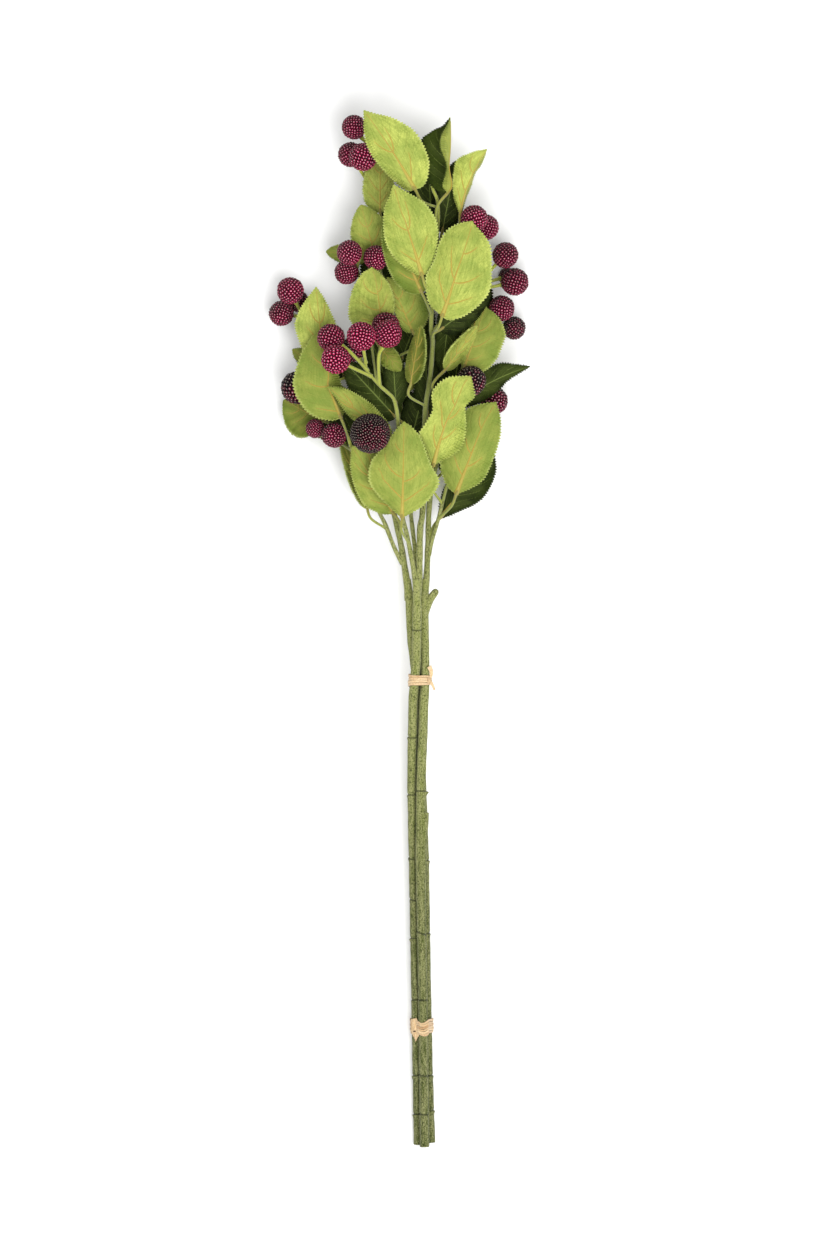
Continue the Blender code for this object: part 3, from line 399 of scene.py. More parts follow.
BERRIES: dict[str, Berry] = {
    "berry_crown_1": Berry((-29.7, 332.3, 38.0), 16.8, "middle_back", 306.0, (-20.0, 319.0, 34.0)),
    "berry_crown_2": Berry((-32.0, 314.5, 29.5), 17.2, "middle_back", 298.0),
    "berry_crown_3": Berry((-23.8, 312.2, 46.5), 19.1, "middle_back", 303.0, ripe=0.75),
    "berry_upper_left_1": Berry((-32.7, 249.2, 48.0), 17.2, "upper_left", 240.0, (-26.0, 246.0, 38.0),
                                ripe=0.65),
    "berry_upper_left_2": Berry((-15.2, 245.9, 44.0), 17.2, "upper_left", 231.0),
    "berry_upper_left_3": Berry((-34.7, 236.6, 34.5), 16.5, "upper_left", 234.0),
    "berry_outer_left_1": Berry((-71.9, 224.7, 24.5), 18.5, "left_main", 208.0, (-67.5, 215.5, 20.5),
                                ripe=0.65),
    "berry_outer_left_2": Berry((-77.9, 209.9, 16.0), 17.2, "left_main", 207.0, ripe=0.5),
    "berry_outer_left_3": Berry((-66.7, 218.1, 7.25), 14.5, "left_main", 208.2, rests=True, ripe=0.4),
    "berry_front_1": Berry((-44.9, 193.1, 49.5), 18.8, "middle_front", 171.5, (-32.3, 183.8, 51.5), ripe=0.7),
    "berry_front_2": Berry((-41.6, 178.5, 62.0), 19.8, "middle_front", 167.5, (-28.0, 172.0, 50.0),
                           ripe=0.95),
    "berry_front_3": Berry((-24.8, 193.7, 64.0), 19.8, "middle_front", 176.5, ripe=0.9),
    "berry_front_4": Berry((-30.4, 185.8, 40.0), 17.2, "middle_front", 171.0, ripe=0.3),
    "berry_front_5": Berry((-7.3, 195.4, 55.0), 19.1, "middle_front", 162.0, (-13.5, 180.0, 50.0), ripe=0.8),
    "berry_front_6": Berry((-8.9, 201.0, 36.6), 19.1, "middle_front", 163.0, (-13.0, 182.0, 42.0), ripe=0.6),
    "berry_upper_right_1": Berry((49.5, 271.6, 51.5), 18.5, "upper_right", 262.0, ripe=0.7),
    "berry_upper_right_2": Berry((57.4, 266.3, 35.5), 17.5, "upper_right", 261.5),
    "berry_outer_right_1": Berry((70.3, 248.2, 24.5), 17.8, "right_main", 239.0, ripe=0.5),
    "berry_outer_right_2": Berry((76.6, 230.7, 21.5), 18.8, "right_main", 226.0, ripe=0.5),
    "berry_outer_right_3": Berry((71.9, 234.6, 6.25), 12.5, "right_main", 230.0, rests=True, ripe=0.35),
    "berry_outer_right_4": Berry((68.0, 213.2, 24.0), 17.5, "right_main", 206.0, ripe=0.5),
    "berry_outer_right_5": Berry((76.2, 200.3, 14.0), 15.8, "right_main", 190.0, ripe=0.2),
    "berry_inner_left": Berry((-67.3, 160.7, 24.0), 22.4, "left_main", 146.0, (-46.0, 153.0, 22.0),
                              ripe=0.15),
    "berry_low_left_1": Berry((-55.4, 133.5, 27.5), 13.2, "left_low", 129.0, ripe=0.5),
    "berry_low_left_2": Berry((-42.9, 129.0, 36.5), 17.2, "left_low", 126.5, ripe=0.5),
    "berry_large": Berry((-18.8, 129.7, 66.0), 27.0, "middle_front", 117.0, (-11.0, 123.5, 45.5), ripe=0.05),
    "berry_inner_right_1": Berry((47.5, 164.7, 43.0), 20.5, "right_main", 150.0, ripe=0.1),
    "berry_inner_right_2": Berry((62.7, 152.1, 16.5), 19.1, "right_main", 136.0, ripe=0.35),
    "berry_back_1": Berry((9.0, 238.0, 9.5), 17.0, "middle_back", 220.0),
    "berry_back_2": Berry((15.0, 168.0, 8.7), 15.6, "middle_back", 152.0),
}

# Leaves on the back: each stem's twig, then each leaf's place on it, its turn to the left and half width
BACK_LEAVES: dict[str, tuple[str, tuple[Point, ...]]] = {
    "left": ("left_main", ((88.0, 12.0, 10.0), (125.0, 44.0, 12.0), (160.0, 18.0, 11.0))),
    "middle": ("middle_back", ((104.0, -32.0, 13.0), (136.0, 14.0, 14.0), (170.0, -28.0, 14.0),
                               (204.0, 4.0, 12.0), (240.0, -34.0, 14.0))),
    "right": ("right_main", ((98.0, -34.0, 13.0), (140.0, 7.0, 13.0), (188.0, 8.0, 13.0))),
}
BACK_LENGTH = 52.0
BACK_STALK = 9.0
BACK_BASE_HEIGHT = 12.0
BACK_TIP_HEIGHT = 4.0
BACK_HEADING_REACH = 4.0


# Numbers between the driving ones

def blend(low: float, high: float, share: float) -> float:
    """Value a share of the way from low to high."""
    return low + (high - low) * share


def stem_centre(around: float, y: float) -> Spot:
    """Middle of a main stem at a distance along the bundle.

    Args:
        around: The stem's place round the bundle, in degrees, where the bundle has no twist.
        y: Distance along the bundle in millimetres.

    Returns:
        The centre's x and z in millimetres.
    """
    inside = min(max(y, BUNDLE[-1].y), BUNDLE[0].y)
    upper, lower = next((u, w) for u, w in zip(BUNDLE, BUNDLE[1:]) if inside >= w.y)
    share = (inside - lower.y) / (upper.y - lower.y)
    height = END_HEIGHT + RISE * (inside - CUT_END)
    spread = blend(lower.spread, upper.spread, share)
    turn = math.radians(around + blend(lower.twist, upper.twist, share))
    return blend(lower.x, upper.x, share) + spread * math.cos(turn), height + spread * math.sin(turn)


def place_on_twig(path: Sequence[Sequence[float]], y: float) -> np.ndarray:
    """Point where a twig passes a distance along Y.

    Args:
        path: The twig's points, in order of rising y.
        y: Distance along the bunch in millimetres.

    Returns:
        The point's x, y and z in millimetres.
    """
    for low, high in zip(path, path[1:]):
        if low[1] <= y <= high[1]:
            share = (y - low[1]) / (high[1] - low[1])
            return np.array([blend(low[i], high[i], share) for i in range(3)])
    return np.array(path[-1][:3], dtype=float)


def smooth_through(points: Sequence[Sequence[float]], count: int) -> np.ndarray:
    """Even steps along a smooth curve through points.

    Args:
        points: Points with any number of coordinates.
        count: How many points to return.

    Returns:
        An array of count points, the first and last of which are the given ends.
    """
    stops = np.array(points, dtype=float)
    if len(stops) == 2:
        share = np.linspace(0.0, 1.0, count)[:, None]
        return stops[0] * (1.0 - share) + stops[1] * share
    padded = np.vstack((2.0 * stops[0] - stops[1], stops, 2.0 * stops[-1] - stops[-2]))
    fine = []
    for p0, p1, p2, p3 in zip(padded, padded[1:], padded[2:], padded[3:]):
        share = np.linspace(0.0, 1.0, CURVE_STEPS, endpoint=False)[:, None]
        fine.append(0.5 * (2.0 * p1 + (p2 - p0) * share + (2.0 * p0 - 5.0 * p1 + 4.0 * p2 - p3) * share ** 2
                           + (3.0 * p1 - p0 - 3.0 * p2 + p3) * share ** 3))
    curve = np.vstack((*fine, stops[-1:]))
    steps = np.linalg.norm(np.diff(curve, axis=0), axis=1)
    reach = np.concatenate(([0.0], np.cumsum(steps)))
    wanted = np.linspace(0.0, reach[-1], count)
    return np.column_stack([np.interp(wanted, reach, curve[:, axis]) for axis in range(curve.shape[1])])


def unit(vectors: np.ndarray) -> np.ndarray:
    """The same directions at a length of one."""
    return vectors / np.maximum(np.linalg.norm(vectors, axis=-1, keepdims=True), 1e-9)


# Pieces

@dataclass
class Piece:
    """Points, faces and surface values of one piece, gathered part by part in millimetres.

    grain is a place on the surface that its streaks follow, tone a share that sets its colour, and mark a
    share that picks out a detail such as a joint or a cut end, or places painted shade between parts and a
    painted highlight on a bead's crown.
    """

    name: str
    points: list[np.ndarray] = field(default_factory=list)
    grain: list[np.ndarray] = field(default_factory=list)
    tone: list[np.ndarray] = field(default_factory=list)
    mark: list[np.ndarray] = field(default_factory=list)
    faces: list[tuple[int, ...]] = field(default_factory=list)
    slots: list[int] = field(default_factory=list)
    count: int = 0

    def add(self, points: np.ndarray, faces: Sequence[Sequence[int]], grain: np.ndarray, tone: np.ndarray,
            mark: np.ndarray, slot: int = 0) -> None:
        """Add a part.

        Args:
            points: Its points, in millimetres.
            faces: Its faces, as rows of indices into those points.
            grain: A place for each point that its streaks follow.
            tone: A share for each point.
            mark: Another share for each point.
            slot: Which of the piece's finishes it takes.
        """
        self.points.append(points)
        self.grain.append(grain)
        self.tone.append(tone)
        self.mark.append(mark)
        self.count += len(points)
        self.add_faces(faces, len(points), slot)

    def add_faces(self, faces: Sequence[Sequence[int]], last: int, slot: int) -> None:
        """Add faces on the last points that were added.

        Args:
            faces: The faces, as rows of indices into those points.
            last: How many points those are.
            slot: Which of the piece's finishes they take.
        """
        start = self.count - last
        self.faces.extend(tuple(corner + start for corner in face) for face in faces)
        self.slots.extend([slot] * len(faces))

    def add_tube(self, path: np.ndarray, wide: np.ndarray, high: np.ndarray, sides: int, tone: np.ndarray,
                 mark: np.ndarray, slot: int = 0, normals: np.ndarray | None = None, phase: float = 0.0,
                 closed: bool = False) -> None:
        """Add a tube, round or flattened.

        The values are one for each point of its line, or one for each point of each ring.

        Args:
            path: Its middle line.
            wide: Half its width.
            high: Half its height.
            sides: How many points go round it.
            tone: A share for its colour.
            mark: Another share, for details.
            slot: Which of the piece's finishes it takes.
            normals: The way its height points at each point of the line, or None to keep it from twisting.
            phase: Where its grain starts, so that two tubes differ.
            closed: Whether the line comes back to its start.
        """
        rows = len(path)
        ahead = unit(np.roll(path, -1, axis=0) - np.roll(path, 1, axis=0)) if closed else unit(
            np.gradient(path, axis=0))
        if normals is None:
            normals = np.empty_like(path)
            start = np.array((0.0, 0.0, 1.0)) if abs(ahead[0][2]) < 0.9 else np.array((1.0, 0.0, 0.0))
            for row, way in enumerate(ahead):
                start = start - way * start.dot(way)
                start = start / np.linalg.norm(start)
                normals[row] = start
        else:
            normals = unit(normals - ahead * np.sum(normals * ahead, axis=1)[:, None])
        across = np.cross(ahead, normals)
        wide, high, tone, mark = (np.broadcast_to(values.reshape(rows, -1), (rows, sides))
                                  for values in (wide, high, tone, mark))
        turns = np.linspace(0.0, math.tau, sides, endpoint=False)[None, :]
        points = (path[:, None, :] + across[:, None, :] * (np.cos(turns) * wide)[:, :, None]
                  + normals[:, None, :] * (np.sin(turns) * high)[:, :, None]).reshape(-1, 3)
        reach = np.concatenate(([0.0], np.cumsum(np.linalg.norm(np.diff(path, axis=0), axis=1)))) + phase
        grain = np.stack((np.cos(turns) * wide, np.sin(turns) * wide,
                          np.repeat(reach[:, None], sides, axis=1)),
                         axis=-1).reshape(-1, 3)
        steps = [(row, (row + 1) % rows) for row in range(rows if closed else rows - 1)]
        faces = [(row * sides + step, row * sides + (step + 1) % sides, after * sides + (step + 1) % sides,
                  after * sides + step) for row, after in steps for step in range(sides)]
        if not closed:
            faces.append(tuple(range(sides - 1, -1, -1)))
            faces.append(tuple((rows - 1) * sides + step for step in range(sides)))
        self.add(points, faces, grain, tone.reshape(-1), mark.reshape(-1), slot)

    def build(self, finishes: Sequence[bpy.types.Material], sharp: float = 50.0) -> bpy.types.Object:
        """Make the Blender object.

        Args:
            finishes: The materials that the parts' slots count through.
            sharp: Edges that turn by more than this many degrees stay sharp.

        Returns:
            The new object, in the scene's collection.
        """
        mesh = bpy.data.meshes.new(self.name)
        mesh.from_pydata((np.vstack(self.points) * MM).tolist(), [], self.faces)
        for values, title in ((self.tone, "tone"), (self.mark, "mark")):
            mesh.attributes.new(title, "FLOAT", "POINT").data.foreach_set(
                "value", np.concatenate(values).astype(np.float32))
        mesh.attributes.new("grain", "FLOAT_VECTOR", "POINT").data.foreach_set(
            "vector", np.vstack(self.grain).astype(np.float32).ravel())
        mesh.polygons.foreach_set("material_index", self.slots)
        for finish in finishes:
            mesh.materials.append(finish)
        mesh.shade_smooth()
        mesh.set_sharp_from_angle(angle=math.radians(sharp))
        made = bpy.data.objects.new(self.name, mesh)
        bpy.context.scene.collection.objects.link(made)
        return made


# Finishes

def shader_group(name: str, inputs: dict[str, tuple[str, float]],
                 outputs: dict[str, str]) -> bpy.types.NodeTree:
    """A shader node group with its sockets and no nodes but its ends.

    Args:
        name: The group's name.
        inputs: Socket kind and starting value for each input. A vector input has no starting value.
        outputs: Socket kind for each output.

    Returns:
        The new group, with nodes named Inputs and Outputs.
    """
    group = bpy.data.node_groups.new(name, "ShaderNodeTree")
    for title, (kind, value) in inputs.items():
        socket = group.interface.new_socket(name=title, in_out="INPUT", socket_type=kind)
        if kind == "NodeSocketFloat":
            socket.default_value = value
    for title, kind in outputs.items():
        group.interface.new_socket(name=title, in_out="OUTPUT", socket_type=kind)
    group.nodes.new("NodeGroupInput").name = "Inputs"
    group.nodes.new("NodeGroupOutput").name = "Outputs"
    return group


@dataclass
class Wiring:
    """Short ways to add and join nodes in a tree."""

    tree: bpy.types.NodeTree

    def node(self, kind: str, **settings: object) -> bpy.types.Node:
        """A new node with its settings."""
        made = self.tree.nodes.new(kind)
        for title, value in settings.items():
            setattr(made, title, value)
        return made

    def join(self, source: object, target: object) -> None:
        """Link an output to an input, or set an input to a value."""
        if isinstance(source, bpy.types.NodeSocket):
            self.tree.links.new(source, target)
        else:
            target.default_value = source

    def attribute(self, name: str) -> bpy.types.Node:
        """A node that reads one of the piece's surface values."""
        return self.node("ShaderNodeAttribute", attribute_name=name, attribute_type="GEOMETRY")

    def math(self, operation: str, first: object, second: object = 0.0) -> object:
        """The output of a math node on two values."""
        made = self.node("ShaderNodeMath", operation=operation)
        self.join(first, made.inputs[0])
        self.join(second, made.inputs[1])
        return made.outputs[0]

    def spread(self, value: object, low: float, high: float, to_low: float = 0.0,
               to_high: float = 1.0) -> object:
        """A value carried smoothly from one range to another and held at its ends."""
        made = self.node("ShaderNodeMapRange", interpolation_type="SMOOTHSTEP")
        for socket, number in zip(made.inputs[:5], (value, low, high, to_low, to_high)):
            self.join(number, socket)
        return made.outputs[0]

    def stretched(self, vector: object, scale: Point) -> object:
        """A place multiplied along each axis."""
        made = self.node("ShaderNodeVectorMath", operation="MULTIPLY")
        self.join(vector, made.inputs[0])
        made.inputs[1].default_value = scale
        return made.outputs[0]

    def noise(self, vector: object, scale: float, detail: float = 3.0, roughness: float = 0.5) -> object:
        """The value of a noise texture at a place."""
        made = self.node("ShaderNodeTexNoise")
        self.join(vector, made.inputs["Vector"])
        made.inputs["Scale"].default_value = scale
        made.inputs["Detail"].default_value = detail
        made.inputs["Roughness"].default_value = roughness
        return made.outputs[0]

    def mix(self, share: object, first: object, second: object) -> object:
        """A colour between two, by a share."""
        made = self.node("ShaderNodeMix", data_type="RGBA")
        self.join(share, made.inputs[0])
        self.join(first, made.inputs[6])
        self.join(second, made.inputs[7])
        return made.outputs[2]

    def bump(self, height: object, distance: float, strength: float = 1.0, under: object = None) -> object:
        """A normal that follows a height."""
        made = self.node("ShaderNodeBump")
        made.inputs["Strength"].default_value = strength
        made.inputs["Distance"].default_value = distance
        self.join(height, made.inputs["Height"])
        if under is not None:
            self.join(under, made.inputs["Normal"])
        return made.outputs[0]


def colour(red: float, green: float, blue: float) -> tuple[float, float, float, float]:
    """A base colour from how it looks on the white floor, in display steps of 0 to 255."""
    return (*(LOOK_TO_BASE * (level / DISPLAY_STEPS) ** DISPLAY_GAMMA for level in (red, green, blue)), 1.0)


def fibre_group() -> bpy.types.NodeTree:
    """Streaks along a stem, stalk or strand, with specks, from the piece's grain.

    Returns:
        A group with the outputs Streak, Speck, Light and Height.
    """
    group = shader_group("fibres", {"Grain": ("NodeSocketVector", 0.0), "Fineness": ("NodeSocketFloat", 1.0)},
                         {"Streak": "NodeSocketFloat", "Speck": "NodeSocketFloat", "Light": "NodeSocketFloat",
                          "Height": "NodeSocketFloat"})
    wires = Wiring(group)
    ends = group.nodes["Inputs"].outputs, group.nodes["Outputs"].inputs
    scaled = wires.node("ShaderNodeVectorMath", operation="SCALE")
    wires.join(ends[0]["Grain"], scaled.inputs[0])
    wires.join(ends[0]["Fineness"], scaled.inputs["Scale"])
    streak = wires.noise(wires.stretched(scaled.outputs[0], (1.0, 1.0, 0.08)), 1.1, 4.0, 0.6)
    speck = wires.noise(wires.stretched(scaled.outputs[0], (1.0, 1.0, 0.7)), 1.25, 3.0, 0.75)
    wires.join(wires.spread(streak, 0.34, 0.66), ends[1]["Streak"])
    wires.join(wires.spread(speck, 0.51, 0.6), ends[1]["Speck"])
    wires.join(wires.spread(speck, 0.46, 0.38), ends[1]["Light"])
    wires.join(wires.math("ADD", streak, wires.math("MULTIPLY", speck, 0.6)), ends[1]["Height"])
    return group


def leaf_mark_group() -> bpy.types.NodeTree:
    """Streaks, side veins and an edge band on a leaf, from its grain: across, along and a number of its own.

    Returns:
        A group with the outputs Streak, Vein, Edge and Height.
    """
    group = shader_group("leaf_marks",
                         {"Grain": ("NodeSocketVector", 0.0), "Across": ("NodeSocketFloat", 12.0),
                                        "Along": ("NodeSocketFloat", 4.0), "Lean": ("NodeSocketFloat", 0.32),
                                        "Count": ("NodeSocketFloat", 9.0)},
                         {"Streak": "NodeSocketFloat", "Vein": "NodeSocketFloat", "Edge": "NodeSocketFloat",
                          "Height": "NodeSocketFloat"})
    wires = Wiring(group)
    ends = group.nodes["Inputs"].outputs, group.nodes["Outputs"].inputs
    parts = wires.node("ShaderNodeSeparateXYZ")
    wires.join(ends[0]["Grain"], parts.inputs[0])
    out = wires.math("ABSOLUTE", parts.outputs[0])
    along = wires.math("SUBTRACT", parts.outputs[1], wires.math("MULTIPLY", wires.math("POWER", out, 1.25),
                                                                ends[0]["Lean"]))
    place = wires.node("ShaderNodeCombineXYZ")
    wires.join(wires.math("MULTIPLY", along, ends[0]["Along"]), place.inputs[0])
    wires.join(wires.math("MULTIPLY", parts.outputs[0], ends[0]["Across"]), place.inputs[1])
    wires.join(parts.outputs[2], place.inputs[2])
    streak = wires.noise(place.outputs[0], 1.0, 5.0, 0.68)
    wobble = wires.math("MULTIPLY", wires.math("SUBTRACT", streak, 0.5), 0.4)
    counted = wires.math("MULTIPLY", along, ends[0]["Count"])
    apart = wires.math("PINGPONG", wires.math("ADD", counted, wobble), 0.5)
    side = wires.math("MULTIPLY", wires.spread(apart, 0.05, 0.0), wires.spread(out, 0.98, 0.6))
    wires.join(wires.spread(streak, 0.36, 0.64), ends[1]["Streak"])
    wires.join(wires.math("MAXIMUM", side, wires.spread(out, 0.045, 0.015)), ends[1]["Vein"])
    wires.join(wires.spread(out, 0.9, 1.0), ends[1]["Edge"])
    wires.join(wires.math("SUBTRACT", streak, wires.math("MULTIPLY", wires.spread(apart, 0.16, 0.0), 0.5)),
               ends[1]["Height"])
    return group


def mottle_group() -> bpy.types.NodeTree:
    """Soft patches, small flecks and fine nap over any surface, from the object's own place.

    Returns:
        A group with the outputs Patch, Fleck and Nap.
    """
    group = shader_group("mottle", {"Size": ("NodeSocketFloat", 1.0)},
                         {"Patch": "NodeSocketFloat", "Fleck": "NodeSocketFloat", "Nap": "NodeSocketFloat"})
    wires = Wiring(group)
    ends = group.nodes["Inputs"].outputs, group.nodes["Outputs"].inputs
    place = wires.node("ShaderNodeTexCoord").outputs["Object"]
    scaled = wires.node("ShaderNodeVectorMath", operation="SCALE")
    wires.join(place, scaled.inputs[0])
    wires.join(ends[0]["Size"], scaled.inputs["Scale"])
    wires.join(wires.spread(wires.noise(scaled.outputs[0], 70.0, 3.0), 0.36, 0.66), ends[1]["Patch"])
    wires.join(wires.spread(wires.noise(scaled.outputs[0], 620.0, 2.0, 0.6), 0.4, 0.66), ends[1]["Fleck"])
    wires.join(wires.noise(scaled.outputs[0], 1500.0, 2.0, 0.7), ends[1]["Nap"])
    return group


@dataclass(frozen=True)
class Finish:
    """A finish with its own shader tree."""

    name: str
    roughness: float

    def start(self) -> tuple[bpy.types.Material, Wiring, bpy.types.Node]:
        """A new material, its wiring and its Principled shader."""
        made = bpy.data.materials.new(self.name)
        made.use_nodes = True
        shader = made.node_tree.nodes["Principled BSDF"]
        shader.inputs["Roughness"].default_value = self.roughness
        return made, Wiring(made.node_tree), shader

    @staticmethod
    def placed(wires: Wiring, group: bpy.types.NodeTree, **values: object) -> bpy.types.Node:
        """A node group in a material, with its inputs joined or set."""
        made = wires.node("ShaderNodeGroup", node_tree=group)
        for title, value in values.items():
            wires.join(value, made.inputs[title])
        return made


@dataclass(frozen=True)
class BladeFinish(Finish):
    """One side of a leaf's blade: its colours at a low and a high tone, and how strongly it is marked.

    streaks is how closely the streaks lie across and along the leaf.
    """

    low: tuple[float, ...]
    high: tuple[float, ...]
    patch_colour: tuple[float, ...]
    streak_colour: tuple[float, ...]
    vein_colour: tuple[float, ...]
    edge_colour: tuple[float, ...]
    patch_share: float
    streak_share: float
    vein_share: float
    rib_share: float
    streaks: Spot
    relief: float

    def make(self, groups: dict[str, bpy.types.NodeTree]) -> bpy.types.Material:
        """The material.

        Args:
            groups: The shared shader groups.

        Returns:
            A new material.
        """
        made, wires, shader = self.start()
        marks = self.placed(wires, groups["leaf_marks"], Grain=wires.attribute("grain").outputs["Vector"],
                            Across=self.streaks[0], Along=self.streaks[1])
        mottle = self.placed(wires, groups["mottle"])
        base = wires.mix(wires.attribute("tone").outputs["Fac"], self.low, self.high)
        for share, weight, shade in ((mottle.outputs["Patch"], self.patch_share, self.patch_colour),
                                     (marks.outputs["Streak"], self.streak_share, self.streak_colour),
                                     (mottle.outputs["Fleck"], self.streak_share * 0.5, self.patch_colour),
                                     (wires.attribute("mark").outputs["Fac"], self.rib_share,
                                      self.vein_colour),
                                     (marks.outputs["Edge"], 0.35, self.edge_colour),
                                     (marks.outputs["Vein"], self.vein_share, self.vein_colour)):
            base = wires.mix(wires.math("MULTIPLY", share, weight), base, shade)
        wires.join(base, shader.inputs["Base Color"])
        height = wires.bump(marks.outputs["Height"], self.relief)
        wires.join(wires.bump(mottle.outputs["Nap"], 0.00006, 0.6, height), shader.inputs["Normal"])
        shader.inputs["Specular IOR Level"].default_value = 0.1
        return made


@dataclass(frozen=True)
class FibreFinish(Finish):
    """A streaky, speckled surface: flocked stems, stalks, veins or raffia."""

    low: tuple[float, ...]
    high: tuple[float, ...]
    streak_colour: tuple[float, ...]
    speck_colour: tuple[float, ...]
    mark_and_shade_colour: tuple[float, ...]
    streak_share: float
    speck_share: float
    fineness: float
    relief: float
    sheen: float = 0.3

    def make(self, groups: dict[str, bpy.types.NodeTree]) -> bpy.types.Material:
        """The material.

        Args:
            groups: The shared shader groups.

        Returns:
            A new material.
        """
        made, wires, shader = self.start()
        grain = wires.attribute("grain").outputs["Vector"]
        fibres = self.placed(wires, groups["fibres"], Grain=grain, Fineness=self.fineness)
        mottle = self.placed(wires, groups["mottle"])
        base = wires.mix(wires.attribute("tone").outputs["Fac"], self.low, self.high)
        base = wires.mix(wires.math("MULTIPLY", fibres.outputs["Streak"], self.streak_share), base,
                         self.streak_colour)
        base = wires.mix(wires.math("MULTIPLY", fibres.outputs["Speck"], self.speck_share), base,
                         self.speck_colour)
        base = wires.mix(wires.math("MULTIPLY", fibres.outputs["Light"], self.speck_share * 0.6), base,
                         self.streak_colour)
        # Mark colour: joints, cut ends, browning, and painted shade between stems, strands and in the fold's
        # hole
        base = wires.mix(wires.math("MULTIPLY", wires.attribute("mark").outputs["Fac"], 0.85), base,
                         self.mark_and_shade_colour)
        wires.join(base, shader.inputs["Base Color"])
        height = wires.bump(fibres.outputs["Height"], self.relief)
        wires.join(wires.bump(mottle.outputs["Nap"], 0.0001, 0.8, height), shader.inputs["Normal"])
        shader.inputs["Sheen Weight"].default_value = self.sheen
        shader.inputs["Specular IOR Level"].default_value = 0.25
        return made


@dataclass(frozen=True)
class BeadFinish(Finish):
    """Beads with painted shade in the gaps, magenta on their sides and a painted pink highlight on their
    crowns.
    """

    gap: tuple[float, ...]
    dark_body: tuple[float, ...]
    ripe_body: tuple[float, ...]
    dark_painted_highlight: tuple[float, ...]
    ripe_painted_highlight: tuple[float, ...]

    def make(self, groups: dict[str, bpy.types.NodeTree]) -> bpy.types.Material:
        """The material.

        Args:
            groups: The shared shader groups.

        Returns:
            A new material.
        """
        made, wires, shader = self.start()
        ripe = wires.attribute("tone").outputs["Fac"]
        crown = wires.attribute("mark").outputs["Fac"]
        mottle = self.placed(wires, groups["mottle"])
        body = wires.mix(ripe, self.dark_body, self.ripe_body)
        body = wires.mix(wires.math("MULTIPLY", mottle.outputs["Patch"], 0.4), body,
                         wires.mix(0.5, body, self.gap))
        # Painted highlight on each bead's crown, and painted shade from the gap colour in the gaps between
        # beads
        top = wires.mix(ripe, self.dark_painted_highlight, self.ripe_painted_highlight)
        base = wires.mix(wires.spread(crown, 0.3, 0.85), self.gap, body)
        base = wires.mix(wires.spread(crown, 0.86, 1.0), base, top)
        wires.join(base, shader.inputs["Base Color"])
        wires.join(wires.bump(mottle.outputs["Nap"], 0.00003, 0.4), shader.inputs["Normal"])
        shader.inputs["Specular IOR Level"].default_value = 0.2
        return made


@dataclass(frozen=True)
class FloorFinish(Finish):
    """Plain pale paper."""

    paper: tuple[float, ...] = (0.97, 0.97, 0.965, 1.0)
    shaded_paper: tuple[float, ...] = (0.94, 0.94, 0.935, 1.0)

    def make(self, groups: dict[str, bpy.types.NodeTree]) -> bpy.types.Material:
        """The material.

        Args:
            groups: The shared shader groups.

        Returns:
            A new material.
        """
        made, wires, shader = self.start()
        mottle = self.placed(wires, groups["mottle"])
        shade = wires.mix(wires.math("MULTIPLY", mottle.outputs["Patch"], 0.3), self.paper, self.shaded_paper)
        wires.join(shade, shader.inputs["Base Color"])
        shader.inputs["Specular IOR Level"].default_value = 0.1
        return made


PALE_BLADE = BladeFinish("leaf_underside", 0.62, colour(94, 104, 38), colour(216, 226, 114),
                         colour(112, 138, 58), colour(108, 126, 46), colour(204, 200, 100),
                         colour(222, 230, 138), 0.5, 0.54, 0.14, 0.22, (30.0, 6.0), 0.0003)
DARK_BLADE = BladeFinish("leaf_upper_side", 0.7, colour(11, 18, 2), colour(68, 82, 24),
                         colour(7, 12, 2), colour(54, 70, 20), colour(132, 148, 76), colour(38, 50, 14),
                         0.6, 0.55, 0.65, 0.12, (3.4, 34.0), 0.0005)
RIB = FibreFinish("leaf_ribs", 0.65, colour(142, 132, 56), colour(190, 182, 82), colour(206, 194, 108),
                  colour(136, 114, 42), colour(174, 142, 42), 0.5, 0.3, 2.0, 0.0001)
# The stem's near-black mark colour: joint scars, cut end, and painted shade between the three stems
STEM = FibreFinish("flocked_stem", 0.95, colour(78, 88, 38), colour(172, 180, 98), colour(182, 180, 128),
                   colour(42, 46, 14), colour(22, 28, 2), 0.4, 0.76, 1.0, 0.0007, 0.1)
STALK = FibreFinish("stalks", 0.75, colour(122, 130, 70), colour(190, 198, 70), colour(158, 166, 90),
                    colour(84, 88, 38), colour(146, 112, 58), 0.4, 0.45, 1.6, 0.0002)
# Bead colours: painted shade in the gaps, dark and ripe bodies, then dark and ripe painted highlights
BEADS = BeadFinish("berry_beads", 0.3, colour(3, 0, 1), colour(44, 12, 22), colour(190, 2, 82),
                   colour(196, 190, 168), colour(255, 222, 236))
# The raffia's dark mark colour: painted shade between strands and in the fold's hole, and the fold's ribbing
RAFFIA = FibreFinish("raffia", 0.8, colour(178, 132, 82), colour(232, 200, 150), colour(238, 214, 174),
                     colour(170, 116, 60), colour(60, 38, 18), 0.7, 0.5, 1.3, 0.0004)
FLOOR = FloorFinish("pale_floor", 0.9)


# Leaves

